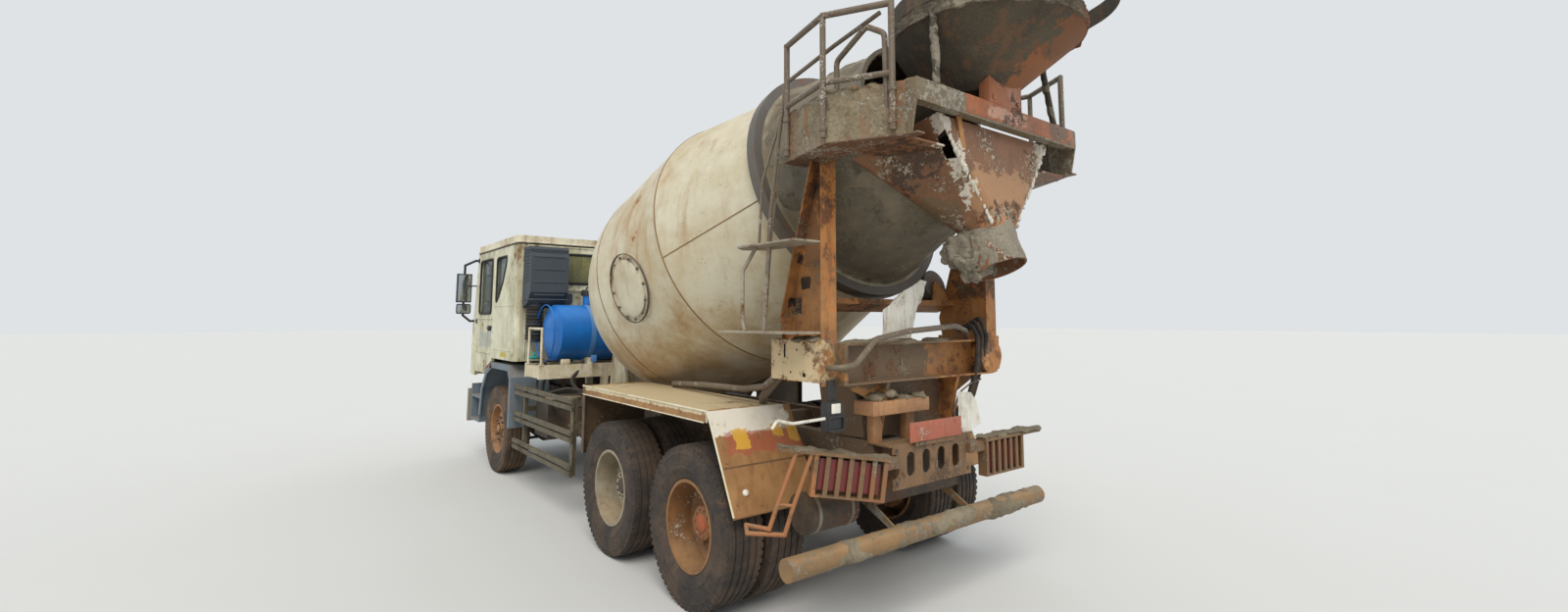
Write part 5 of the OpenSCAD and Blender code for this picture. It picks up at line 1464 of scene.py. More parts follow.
@dataclass
class Seats(Assembly):
    """Two worn cab seats: metal bases, puffed cushions and backs with sewn channels."""

    centre_y: float = 0.72

    def make(self) -> None:
        """Build both seats."""
        frames = Shape()
        for side in Side:
            y = side.value * self.centre_y
            frames.block((3.10, y - 0.19, 1.43), (3.51, y + 0.19, 1.46), 0.006)
            frames.block((3.12, y - 0.17, 1.46), (3.49, y + 0.17, 1.60), 0.02)
            frames.block((3.07, y - 0.22, 1.60), (3.53, y + 0.22, 1.648), 0.012)
            for x in (3.17, 3.44):
                frames.drum((x, y, 1.53), (0, 1, 0), 0.016, 0.36, 12, 0.003)
            frames.pipe([(3.40, y - 0.225, 1.62), (3.48, y - 0.235, 1.62), (3.53, y - 0.235, 1.635)], 0.009, 8, 0.02)
            self._pad(f"seat_cushion_{side.word}", (3.025, y - 0.25, 1.652), (3.562, y + 0.25, 1.798), 2, 0.03)
            self._pad(f"seat_back_{side.word}", (2.855, y - 0.24, 1.80), (3.008, y + 0.24, 2.20), 0, 0.025)
            self._pad(f"seat_head_{side.word}", (2.865, y - 0.15, 2.235), (2.985, y + 0.15, 2.415), 0, 0.02)
            for reach in (-0.07, 0.07):
                frames.drum((2.925, y + reach, 2.215), (0, 0, 1), 0.007, 0.09, 10)
            frames.block((2.872, y - 0.20, 1.648), (2.992, y + 0.20, 1.81), 0.02)
        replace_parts(self.add(frames, "seat_frames", "black_plastic", "cab", "seats"), "seats")

    def _pad(self, name: str, low: Point, high: Point, face: int, puff: float) -> None:
        """Build one padded part.

        Args:
            name: The piece's name.
            low: Its lowest corner.
            high: Its highest corner.
            face: The axis that its seat side looks along.
            puff: How far its middle stands proud of its corners.
        """
        shape = Shape()
        inset = Vector((puff, puff, puff)) * 0.6
        shape.block(Vector(low) + inset, Vector(high) - inset)
        bmesh.ops.subdivide_edges(shape.bm, edges=shape.bm.edges, cuts=11, use_grid_fill=True)
        middle = (Vector(low) + Vector(high)) / 2
        half = (Vector(high) - Vector(low)) / 2
        for v in shape.bm.verts:
            share = [min(1.0, abs(v.co[i] - middle[i]) / half[i]) for i in range(3)]
            crown = math.prod(1 - share[i] ** 3 for i in range(3) if i != face)
            channel = 0.35 * math.exp(-((abs(v.co.y - middle.y) - 0.105) / 0.012) ** 2)
            v.co[face] += math.copysign(puff * max(0.0, crown - channel) * 0.75, v.co[face] - middle[face])
            for i in range(3):
                if i != face:
                    v.co[i] += math.copysign(puff * 0.5 * (1 - share[face] ** 2), v.co[i] - middle[i]) * share[i] ** 4
        shape.roughen(0.004, 9.0, middle.y)
        bmesh.ops.smooth_vert(shape.bm, verts=shape.bm.verts, factor=0.5, use_axis_x=True, use_axis_y=True,
                              use_axis_z=True)
        piece = self.add(shape, name, "seat_weave", "cab", "seats", 60.0)


@dataclass
class Mirrors(Assembly):
    """Faces, rims and clamps of the door mirrors."""

    back_x: float = 4.167
    arm_y: float = 1.35

    def make(self) -> None:
        """Build both sides."""
        faces, holders = Shape(), Shape()
        for side in Side:
            y = side.value * self.arm_y
            for low, high in ((2.12, 2.52), (1.96, 2.10)):
                faces.block((self.back_x - 0.004, y - 0.083, low + 0.014),
                            (self.back_x + 0.004, y + 0.083, high - 0.014),
                            0.003)
                holders.loop([(self.back_x, y - 0.087, low + 0.009), (self.back_x, y + 0.087, low + 0.009),
                              (self.back_x, y + 0.087, high - 0.009), (self.back_x, y - 0.087, high - 0.009)], 0.008, 8,
                             0.02)
            for z in (2.20, 2.44, 2.03):
                holders.block((4.170, y - 0.028, z - 0.016), (4.211, y + 0.028, z + 0.016), 0.006)
            for z in (2.70, 1.86):
                holders.block((4.003, side.value * 1.204 - 0.010, z - 0.032),
                              (4.040, side.value * 1.204 + 0.010, z + 0.032),
                              0.005)
        self.add(faces, "mirror_faces", "mirror_face", "cab")
        self.add(holders, "mirror_rims", "black_plastic", "cab", "mirrors")


@dataclass
class Intake(Assembly):
    """Slats and ribs of the air intake, its bellows and the small box on the rear wall."""

    low: Point = (1.92, 0.69, 2.02)
    high: Point = (2.21, 1.13, 2.74)
    bellows: Pair = (2.11, 1.01)

    def make(self) -> None:
        """Build the intake's pieces."""
        slats = Shape()
        x, y = self.low[0], self.high[1]
        for i in range(9):
            z = 2.33 + i * 0.042
            slats.block((x + 0.05, y - 0.006, z), (x + 0.24, y + 0.008, z + 0.012), 0.004)
        for i in range(4):
            z = 2.16 + i * 0.15
            slats.block((x - 0.007, self.low[1] + 0.04, z), (x + 0.005, y - 0.04, z + 0.02), 0.006)
        for z in (2.115, 2.705):
            slats.loop([(x, self.low[1], z), (x, y, z), (self.high[0] - 0.01, y, z),
                        (self.high[0] - 0.01, self.low[1], z)], 0.009, 8, 0.03)
        self.add(slats, "intake_slats", "intake_grey", "cab", "air_intake")
        profile = [(0.084, 1.64)]
        for i in range(10):
            z = 1.65 + i * 0.038
            profile += [(0.088, z), (0.099, z + 0.010), (0.099, z + 0.022), (0.088, z + 0.032)]
        profile += [(0.084, 2.035), (0.084, 1.64)]
        ribs = Shape().lathe(profile, (*self.bellows, 0), (0, 0, 1), 32)
        self.add(ribs, "intake_bellows", "rubber_seal", "cab", "air_intake")
        box = Shape().block((2.150, 0.636, 2.035), (2.212, 0.735, 2.232), 0.010)
        for i in range(6):
            z = 2.065 + i * 0.025
            box.block((2.143, 0.650, z), (2.152, 0.722, z + 0.010), 0.003)
        self.add(box, "rear_wall_box", "black_plastic", "cab")
        pane = Shape().block((2.2035, -0.615, 2.345), (2.2075, 0.615, 2.675), 0.001)
        self.add(pane, "rear_window_film", "rear_pane", "cab", "cab_glass")


@dataclass
class WaterTank(Assembly):
    """Bands, weld seams, neck and fittings of the blue tank, and what stands on its deck."""

    centre: Pair = (1.745, 1.73)
    radius: float = 0.32
    seams: tuple[float, ...] = (-1.0, -0.36, 0.36, 1.0)
    bands: tuple[float, ...] = (-0.55, 0.55)

    def _ring(self, shape: Shape, y: float, half: float, out: float) -> None:
        """Add a flat ring round the tank.

        Args:
            shape: The shape that it is added to.
            y: How far left it is.
            half: Its half width.
            out: How far out it stands.
        """
        r = self.radius
        profile = [(r - 0.004, y - half), (r + out, y - half), (r + out, y + half), (r - 0.004, y + half),
                   (r - 0.004, y - half)]
        shape.lathe(profile, (self.centre[0], 0, self.centre[1]), (0, 1, 0), 64)

    def make(self) -> None:
        """Build the tank's pieces."""
        welds, bands = Shape(), Shape()
        for y in self.seams:
            self._ring(welds, y, 0.007, 0.004)
        for y in self.bands:
            self._ring(bands, y, 0.028, 0.005)
            bands.block((self.centre[0] - 0.345, y - 0.030, 1.40), (self.centre[0] - 0.310, y + 0.030, 1.48), 0.006)
        self.add(welds, "tank_welds", "tank_blue", like="water_tank")
        # The bands' lighter blue is partly a painted highlight.
        self.add(bands, "tank_bands", "band_blue", like="water_tank")
        neck = Shape()
        neck.lathe([(0.058, 2.165), (0.079, 2.165), (0.079, 2.220), (0.072, 2.234), (0.0, 2.236), (0.0, 2.165)],
                   (1.775, 0.5, 0), (0, 0, 1), 32)
        neck.knots((1.775, 0.5, 2.175), (0, 0, 1), 0.079, 14, 0.006, 0.040, 6)
        neck.pipe([(1.70, 0.5, 2.236), (1.73, 0.5, 2.262), (1.82, 0.5, 2.262), (1.85, 0.5, 2.236)], 0.008, 8, 0.01)
        self.add(neck, "tank_cap", "black_plastic", like="water_tank")
        self._deck()

    def _deck(self) -> None:
        """Add the valve, clamps, hoses and lips of the deck."""
        valve = Shape()
        valve.drum((1.86, 1.08, 1.452), (0, 1, 0), 0.020, 0.10, 16, 0.003)
        valve.drum((1.86, 1.08, 1.480), (0, 0, 1), 0.014, 0.05, 12, 0.002)
        valve.block((1.835, 1.045, 1.500), (1.925, 1.075, 1.510), 0.004)
        self.add(valve, "deck_valve", "teal_valve")
        hoses = Shape()
        hoses.pipe([(1.86, 1.03, 1.452), (1.80, 0.98, 1.42), (1.74, 0.95, 1.31), (1.68, 1.02, 1.16), (1.60, 1.05, 1.02),
                    (1.30, 0.98, 0.93), (0.95, 0.80, 0.98), (0.70, 0.55, 1.03)], 0.016, 10, 0.12)
        hoses.pipe([(1.70, 1.06, 1.30), (1.70, 1.09, 1.12), (1.56, 1.12, 1.06), (1.30, 1.10, 1.10), (1.10, 0.95, 1.16),
                    (0.85, 0.50, 1.06)], 0.013, 10, 0.12)
        hoses.pipe([(1.55, 0.62, 1.41), (1.50, 0.70, 1.30), (1.46, 0.80, 1.20), (1.36, 0.70, 1.05), (1.20, 0.45, 1.02)],
                   0.020, 10, 0.10)
        self.add(hoses, "deck_hoses", "hose_black")
        deck = Shape()
        for x in (1.515, 1.975):
            for y in (-1.10, -0.55, 0.55, 1.10):
                deck.drum((x, y, 1.385), (0, 0, 1), 0.018, 0.014, 6)
        for side in Side:
            y = side.value * 1.112
            deck.block((1.478, y - 0.028, 1.376), (1.518, y + 0.028, 1.390), 0.004)
            deck.block((1.925, y - 0.028, 1.376), (1.968, y + 0.028, 1.390), 0.004)
            deck.block((1.485, side.value * 0.84 - 0.05, 1.378), (1.535, side.value * 0.84 + 0.05, 1.440), 0.012)
        self.add(deck, "deck_fittings", "deck_cream", like="tank_deck")


@dataclass
class SideSteps(Assembly):
    """Treads of the cab steps, marker lenses, and the bolts and a strip of the side guards."""

    bars: tuple[float, ...] = (0.439, 0.497, 0.749, 0.807, 1.059, 1.117)
    posts: Pair = (0.3965, 1.9045)

    def make(self) -> None:
        """Build the pieces on both sides."""
        treads, lenses, bolts = Shape(), Shape(), Shape()
        for side in Side:
            s = side.value
            for z in (0.52, 0.83):
                for i in range(9):
                    x = 3.71 + i * 0.048
                    treads.block((x, s * 1.03 - 0.13, z - 0.001), (x + 0.018, s * 1.03 + 0.13, z + 0.008), 0.003)
            lenses.lathe([(0.0, 1.2205), (0.018, 1.218), (0.026, 1.212), (0.028, 1.202), (0.0, 1.202)],
                         (3.157, 0, 1.29), (0, s, 0), 24)
            for x in self.posts:
                for z in self.bars:
                    bolts.drum((x, s * 1.1785, z), (0, s, 0), 0.010, 0.007, 6)
            bolts.block((0.36, s * 1.150 - 0.006, 0.40), (0.433, s * 1.150 + 0.006, 1.15), 0.004)
        self.add(treads, "cab_step_treads", "arch_grey", like="arch_guards")
        self.add(lenses, "side_marker_lenses", "orange_lens", like="arch_guards")
        self.add(bolts, "side_guard_bolts", "guard_dark", like="side_guards")


@dataclass
class Mudguards(Assembly):
    """Rolled lips, bolts and reflectors of the rear mudguards."""

    lip_y: float = 1.2455

    def make(self) -> None:
        """Build the pieces on both sides."""
        lips, lamps, bolts = Shape(), Shape(), Shape()
        for side in Side:
            s = side.value
            y = s * self.lip_y
            lips.pipe([(-0.10, y, 1.299), (-2.215, y, 1.299), (-2.530, y, 0.715)], 0.0065, 8, 0.02)
            lips.pipe([(-0.10, y, 1.226), (-2.17, y, 1.226)], 0.005, 6)
            for i in range(9):
                bolts.drum((-0.22 - i * 0.235, y + s * 0.001, 1.262), (0, s, 0), 0.008, 0.006, 6)
            for t in (0.12, 0.5, 0.88):
                x, z = -2.22 - 0.314 * t, 1.30 - 0.59 * t
                bolts.drum((x - 0.004, s * 0.64, z - 0.002), (-0.88, 0, 0.47), 0.009, 0.010, 6)
                bolts.drum((x - 0.004, s * 1.20, z - 0.002), (-0.88, 0, 0.47), 0.009, 0.010, 6)
            lamps.lathe([(0.0, 0.014), (0.014, 0.013), (0.019, 0.009), (0.021, -0.004), (0.0, -0.004)],
                        (-2.471, s * 1.123, 0.829), (-0.883, 0, 0.47), 20)
        self.add(lips, "mudguard_lips", "lip_cream", like="rear_mudguards")
        self.add(bolts, "mudguard_bolts", "mudguard_ochre", like="rear_mudguards")
        self.add(lamps, "mudguard_reflectors", "white_worn", like="rear_mudguards")


@dataclass
class Drum(Assembly):
    """Welds, manhole, track ring, blades and set concrete of the drum."""

    up: Point = (0.29571, 0, 0.95528)
    manhole: tuple[float, float, float] = (-0.629, 104.7, 1.144)
    ring_s: float = 1.092
    seams: tuple[tuple[float, float, float], ...] = ((0.01, 1.04, 103.2), (0.01, 1.04, 283.2), (-1.18, -0.01, 15.0),
                                                     (-1.18, -0.01, 195.0))
    taper: float = 0.25641
    belly: float = 1.13

    def at(self, s: float, degrees: float, radius: float) -> Vector:
        """A point on the drum.

        Args:
            s: Its place along the axis.
            degrees: Its angle from the top towards the left.
            radius: Its distance from the axis.

        Returns:
            The point.
        """
        return Vector(DRUM_BASE) + Vector(DRUM_AXIS) * s + self.out(degrees) * radius

    def out(self, degrees: float) -> Vector:
        """The direction away from the axis at an angle from the top."""
        angle = math.radians(degrees)
        return Vector(self.up) * math.cos(angle) + Vector((0, 1, 0)) * math.sin(angle)

    def cone(self, s: float) -> float:
        """The radius of the rear cone at a place along the axis."""
        return self.belly - self.taper * s

    def make(self) -> None:
        """Build the drum's pieces."""
        self._welds()
        self._manhole()
        self._ring()
        self._crust()

    def _welds(self) -> None:
        """Run weld beads round the drum and along its plates."""
        welds = Shape()
        for s in (-1.19, 0.0):
            r = self.belly
            profile = [(r - 0.004, s - 0.010), (r + 0.003, s - 0.005), (r + 0.003, s + 0.005), (r - 0.004, s + 0.010),
                       (r - 0.004, s - 0.010)]
            welds.lathe(profile, DRUM_BASE, DRUM_AXIS, 120)
        for start, end, degrees in self.seams:
            radii = [min(self.belly, self.cone(s)) - 0.002 for s in (start, end)]
            welds.pipe([self.at(start, degrees, radii[0]), self.at(end, degrees, radii[1])], 0.006, 6)
        self.add(welds, "drum_welds", "weld_brown", "drum", "drum_shell")

    def _manhole(self) -> None:
        """Crown the manhole's cover and ring it with a dark seal and twelve bolts."""
        s, degrees, r = self.manhole
        centre, out = self.at(s, degrees, 0), self.out(degrees)
        cover = Shape().lathe([(0.0, r + 0.007), (0.15, r + 0.006), (0.24, r + 0.003), (0.247, r - 0.002),
                               (0.0, r - 0.002)], centre, out, 48)
        self.add(cover, "manhole_cover", "drum_cream", "drum", "drum_shell")
        dark = Shape().lathe([(0.294, r - 0.016), (0.301, r - 0.016), (0.301, r + 0.003), (0.298, r + 0.005),
                              (0.294, r + 0.003), (0.294, r - 0.016)], centre, out, 64)
        dark.knots(self.at(s, degrees, r), out, 0.266, 12, 0.0135, 0.014, 6, 0.2)
        self.add(dark, "manhole_bolts", "ring_black", "drum")

    def _ring(self) -> None:
        """Cover the track ring's faces with dark worn steel."""
        low, high = self.ring_s - 0.0465, self.ring_s + 0.0465
        profile = [(0.86, low), (0.925, low), (0.9275, low + 0.005), (0.9275, high - 0.005), (0.925, high),
                   (0.86, high), (0.86, low)]
        ring = Shape().lathe(profile, DRUM_BASE, DRUM_AXIS, 96)
        self.add(ring, "track_ring_face", "ring_black", "drum", "drum_shell")

    def _crust(self) -> None:
        """Cake the rear cone, and run two blade edges in the mouth."""
        stations = [1.16 + 0.06 * i for i in range(14)]
        profile = [(self.cone(s) - 0.004, s) for s in stations]
        profile += [(self.cone(s) - 0.020, s) for s in reversed(stations)]
        crust = Shape().lathe(profile + profile[:1], DRUM_BASE, DRUM_AXIS, 100).roughen(0.030, 5.0, 3.0)
        self.add(crust, "cone_crust", "drum_crust", "drum", "drum_shell", 60.0)
        blades = Shape()
        for start in (0.0, 180.0):
            blades.pipe([self.at(1.25 + 0.022 * i, start + 12 * i, self.cone(1.25 + 0.022 * i) - 0.10)
                         for i in range(31)], 0.02, 8)
        self.add(blades, "mouth_blades", "drum_crust", "drum", "drum_shell")


@dataclass
class Stand(Assembly):
    """What hangs on the rear stand: bent pipes, hoses, slots as blocks of painted shade, a crumpled sheet, a web, bolts
    and set concrete.
    """

    plate_y: float = 0.781
    web_edge: tuple[Pair, ...] = ((0.46, 1.50), (0.40, 1.12), (-0.36, 1.12), (-0.50, 1.50))
    hand_rail: tuple[Point, ...] = ((-2.70, 0.985, 3.43), (-2.62, 0.99, 3.02), (-2.545, 1.0, 2.52),
                                    (-2.535, 1.0, 2.36))
    stay: tuple[Point, ...] = ((-2.62, 0.95, 3.24), (-2.49, 1.02, 2.78), (-2.47, 1.03, 2.36))
    bent_pipe: tuple[Point, ...] = ((-2.90, 0.85, 1.60), (-3.025, 0.84, 1.60), (-3.03, 0.72, 1.615),
                                    (-3.03, 0.54, 1.765), (-3.03, 0.24, 1.81), (-3.02, -0.26, 1.84),
                                    (-2.95, -0.48, 1.80), (-2.90, -0.52, 1.72))
    hoses_y: tuple[float, ...] = (-0.53, -0.58, -0.64)
    inner_hoses: tuple[tuple[float, tuple[Point, ...]], ...] = (
        (0.018, ((-2.60, 0.42, 1.52), (-2.76, 0.45, 1.42), (-2.84, 0.42, 1.25), (-2.75, 0.38, 1.05))),
        (0.014, ((-2.55, 0.36, 1.50), (-2.70, 0.36, 1.36), (-2.80, 0.34, 1.20), (-2.78, 0.30, 1.02))))
    long_line: tuple[Point, ...] = ((-2.47, 0.90, 1.515), (-2.30, 0.86, 1.44), (-1.984, 0.80, 1.395),
                                    (-1.366, 0.75, 1.372), (-0.75, 0.70, 1.335), (-0.70, 0.66, 1.302))
    short_line: tuple[Point, ...] = ((-2.47, 0.84, 1.53), (-2.33, 0.80, 1.46), (-2.18, 0.78, 1.36),
                                     (-2.10, 0.72, 1.303))
    slots: tuple[tuple[float, float, float, float], ...] = (
        (-2.60, 1.69, 0.018, 0.085), (-2.545, 1.665, 0.014, 0.014), (-2.72, 1.70, 0.014, 0.014),
        (-2.79, 1.55, 0.03, 0.024), (-2.66, 1.56, 0.014, 0.014))
    torn_edge: tuple[Pair, ...] = ((0.33, 1.95), (0.33, 1.738), (0.06, 1.738), (-0.02, 1.985), (-0.125, 2.15),
                                   (-0.06, 2.16), (0.10, 2.09), (0.26, 1.98))
    bolt_spots: tuple[Pair, ...] = ((-2.86, 1.58), (-2.86, 1.68), (-2.55, 1.60), (-2.85, 2.80), (-2.82, 2.66),
                                    (-2.56, 1.80), (-2.86, 2.05), (-2.86, 2.35))
    cakes: tuple[Point, ...] = ((-2.93, 0.62, 1.742), (-2.92, 0.42, 1.742), (-2.94, 0.2, 1.742),
                                (-2.93, -0.15, 1.742), (-2.72, 0.84, 1.762), (-2.86, 0.84, 1.762))

    def make(self) -> None:
        """Build the stand's pieces."""
        self._tubes()
        self._plates()
        self._details()

    def _tubes(self) -> None:
        """Bend the pipes, the hoses beside the beam and the lines under the drum."""
        tubes = Shape().pipe(self.hand_rail, 0.013, 8, 0.2).pipe(self.stay, 0.009, 8, 0.2)
        tubes.pipe(self.bent_pipe, 0.019, 10, 0.09)
        self.add(tubes, "stand_pipes", "rail_brown", like="rear_pedestal")
        hoses = Shape()
        for i, y in enumerate(self.hoses_y):
            hoses.pipe([(-2.84, y, 1.80), (-2.93, y - 0.02, 1.86 + 0.03 * i), (-3.01, y, 1.76),
                        (-3.0 + 0.02 * i, y + 0.01, 1.55), (-2.92, y + 0.03 * i, 1.34), (-2.80, y + 0.06, 1.16),
                        (-2.70, y + 0.12, 1.02)], 0.017, 8, 0.1)
        for radius, course in self.inner_hoses:
            hoses.pipe(course, radius, 8, 0.1)
        self.add(hoses, "rear_hoses", "old_rubber")
        lines = Shape().pipe(self.long_line, 0.022, 10, 0.12).pipe(self.short_line, 0.030, 10, 0.1)
        self.add(lines, "rear_lines", "rail_brown")

    def _plates(self) -> None:
        """Set dark blocks of painted shade for the foot box's slots, and set the torn sheet and the web below the beam.
        """
        slots = Shape()
        for x, z, wide, high in self.slots:
            slots.block((x - wide / 2, 0.916, z - high / 2), (x + wide / 2, 0.9215, z + high / 2),
                        min(wide, high) * 0.45)
        # The slots are near-black blocks: painted shade inside the openings.
        self.add(slots, "stand_slots", "dark_hole", like="rear_pedestal")
        sheet = Shape().plate([(-2.885, y, z) for y, z in self.torn_edge], (-0.004, 0, 0)).cut_fine(0.035)
        sheet.roughen(0.020, 5.0, 8.0, lambda co: min(1.0, (co.z - 1.74) * 8))
        self.add(sheet, "crumpled_sheet", "white_worn", smooth=60.0)
        web = Shape().plate([(-2.80, y, z) for y, z in self.web_edge], (0.010, 0, 0)).cut_fine(0.045)
        web.roughen(0.012, 6.0, 2.0)
        web.plate([(-2.79, 0.40, 1.12), (-2.79, 0.46, 1.50), (-2.45, 0.50, 1.50), (-2.45, 0.44, 1.12)], (0, 0.010, 0))
        self.add(web, "stand_web", "subframe_brown", smooth=60.0)

    def _details(self) -> None:
        """Set the bolts of both side plates and the lumps on the beam and the foot box."""
        bolts = Shape()
        for side in Side:
            for x, z in self.bolt_spots:
                bolts.drum((x, side.value * self.plate_y, z), (0, side.value, 0), 0.016, 0.016, 6)
        self.add(bolts, "stand_bolts", "axle_dirt", like="rear_pedestal")
        cake = Shape()
        for i, spot in enumerate(self.cakes):
            cake.lump(spot, (0.06, 0.13, 0.022), 0.02, 2.7 * i)
        self.add(cake, "stand_cake", "caked_ledge", like="rear_pedestal", smooth=60.0)


@dataclass
class Hopper(Assembly):
    """Set concrete on the hopper's band and struts, its red bracket and the red face of the cross beam."""

    centre: Pair = (-3.51, 0.0)
    radius: float = 0.6
    band: tuple[float, float, int] = (3.636, 0.0145, 7)
    strut: tuple[Point, ...] = ((-3.605, 0.622, 3.20), (-3.58, 0.60, 3.42), (-3.553, 0.578, 3.66))
    bolt_spots: tuple[Pair, ...] = ((-0.13, 3.225), (-0.13, 3.365), (0.13, 3.225), (0.13, 3.365))

    def make(self) -> None:
        """Build the hopper's pieces."""
        start, step, count = self.band
        rows = [start + step * i for i in range(count)]
        profile = [(self.radius + 0.002, z) for z in rows] + [(self.radius - 0.006, z) for z in reversed(rows)]
        band = Shape().lathe(profile + profile[:1], (*self.centre, 0), (0, 0, 1), 150).roughen(0.022, 13.0, 5.0)
        self.add(band, "hopper_band", "hopper_crust", like="feed_hopper", smooth=60.0)
        bracket = Shape().block((-3.6435, -0.173, 3.191), (-3.567, 0.173, 3.402), 0.005)
        for y, z in self.bolt_spots:
            bracket.drum((-3.645, y, z), (-1, 0, 0), 0.017, 0.014, 6)
        self.add(bracket, "hopper_bracket", "cross_red", like="feed_hopper")
        struts = Shape()
        for side in Side:
            struts.pipe([(x, side.value * y, z) for x, y, z in self.strut], 0.021, 10)
        struts.cut_fine(0.03).roughen(0.012, 16.0, 1.0)
        self.add(struts, "hopper_strut_crust", "spout_crust", like="feed_hopper", smooth=60.0)
        beam = Shape().block((-3.6425, -0.80, 3.078), (-3.568, 0.40, 3.1915), 0.004)
        self.add(beam, "cross_beam_face", "cross_red", like="platform")


@dataclass
class Collector(Assembly):
    """Drips down the collector's folds, the lumps round its spout and the strut in its opening."""

    spout: Point = (-3.47, 0, 2.42)
    lean: Point = (-0.374607, 0, -0.927184)
    corner: Point = (-3.5715, 0.573, 3.055)
    throat: Point = (-3.606, 0.096, 2.42)
    drips: int = 24
    lumps: tuple[tuple[Point, float], ...] = (((-3.36, 0.08, 2.31), 0.125), ((-3.42, 0.07, 2.235), 0.11),
                                              ((-3.36, -0.04, 2.29), 0.11), ((-3.47, 0.12, 2.20), 0.07))

    def fold(self, side: Side, fall: float) -> Vector:
        """A point on a rear fold, from 0 at the top to 1 at the throat."""
        place = Vector(self.corner).lerp(Vector(self.throat), fall)
        return Vector((place.x, place.y * side.value, place.z))

    def make(self) -> None:
        """Build the collector's pieces."""
        self._drips()
        self._spout()
        strut = Shape().block((-3.588, 0.36, 2.86), (-3.576, 0.40, 3.09), 0.003,
                              Matrix.Rotation(math.radians(-12), 4, "X"))
        self.add(strut, "collector_strut", "stand_rust", like="collector")

    def _drips(self) -> None:
        """Let white drips run down both rear folds."""
        drips = Shape()
        for side in Side:
            for i in range(self.drips):
                place = self.fold(side, (i + 0.4 * math.sin(i * 5.1) + 0.5) / (self.drips + 1))
                size = (0.007, 0.006 + 0.008 * math.sin(i * 1.3) ** 2, 0.014 + 0.012 * math.sin(i * 3.3) ** 2)
                drips.lump(place, size, 0.012, i * 1.7 + side.value, 2)
        self.add(drips, "collector_drips", "drip_white", like="collector", smooth=60.0)

    def _spout(self) -> None:
        """Cake the spout, thickest at its front."""
        places = [-0.07 + 0.035 * i for i in range(10)]
        profile = [(0.1655 + 0.006 * (1 - i / 9), t) for i, t in enumerate(places)]
        profile += [(0.160, t) for t in reversed(places)]
        crust = Shape().lathe(profile + profile[:1], self.spout, self.lean, 64)
        crust.roughen(0.030, 9.0, 2.0, lambda co: 0.25 + 0.75 * min(1.0, max(0.0, (co.x + 3.60) * 5)))
        for i, (place, r) in enumerate(self.lumps):
            crust.lump(place, (r, r * 1.1, r * 0.9), 0.05, 3.1 * i, 4)
        self.add(crust, "spout_lumps", "spout_crust", like="collector", smooth=60.0)


@dataclass
class Platform(Assembly):
    """Caked skirts of the walkways, loose pipes on their rails and clamps at the rails' feet."""

    corners: tuple[Pair, ...] = ((-2.63, 0.935), (-3.155, 1.05), (-3.565, 0.835))
    low: float = 2.884
    high: float = 3.176
    loose_rod: tuple[Point, ...] = ((-2.72, 0.975, 3.40), (-3.10, 0.94, 3.51), (-3.44, 0.90, 3.60))
    bent_loop: tuple[Point, ...] = ((-3.11, 0.93, 2.892), (-3.11, 0.93, 3.41), (-3.35, 0.92, 3.545),
                                    (-3.47, 0.90, 3.47), (-3.47, 0.88, 2.892))
    posts: tuple[Pair, ...] = ((-2.697, 0.982), (-3.159, 1.083), (-3.518, 0.895))
    clamps_z: Pair = (2.96, 3.14)

    def make(self) -> None:
        """Build the pieces of both walkways."""
        for side in Side:
            self._skirt(side)
        pipes = Shape().pipe(self.loose_rod, 0.013, 8, 0.3).pipe(self.bent_loop, 0.017, 10, 0.05)
        for side in Side:
            for x, y in self.posts:
                for z in self.clamps_z:
                    pipes.drum((x, side.value * y, z), (0, 0, 1), 0.024, 0.03, 14, 0.004)
        self.add(pipes, "rail_pipes", "rail_brown", like="guard_rails")

    def _skirt(self, side: Side) -> None:
        """Cake one walkway's skirts and the edge of its deck.

        Args:
            side: Its side.
        """
        shape = Shape()
        for (xa, ya), (xb, yb) in zip(self.corners, self.corners[1:]):
            a, b = Vector((xa, side.value * ya, 0)), Vector((xb, side.value * yb, 0))
            out = Vector((-(b - a).y, (b - a).x, 0)).normalized()
            out *= math.copysign(1.0, out.y * side.value)
            skin = [a + out * 0.0085, b + out * 0.0085]
            outline = [p + Vector((0, 0, self.low)) for p in skin] + [p + Vector((0, 0, self.high)) for p in skin[::-1]]
            shape.plate(outline, out * 0.005)
        shape.cut_fine(0.030).roughen(0.016, 7.0, 6.0 + side.value)
        for i in range(9):
            first = 0 if i < 5 else 1
            a, b = self.corners[first:first + 2]
            share = i / 4 - first
            x, y = a[0] + (b[0] - a[0]) * share, a[1] + (b[1] - a[1]) * share
            shape.lump((x, side.value * (y - 0.02), self.high + 0.006), (0.07, 0.03, 0.018), 0.02,
                       i * 1.9 + side.value, 2)
        self.add(shape, f"skirt_cake_{side.word}", "platform_cake", like="platform", smooth=60.0)


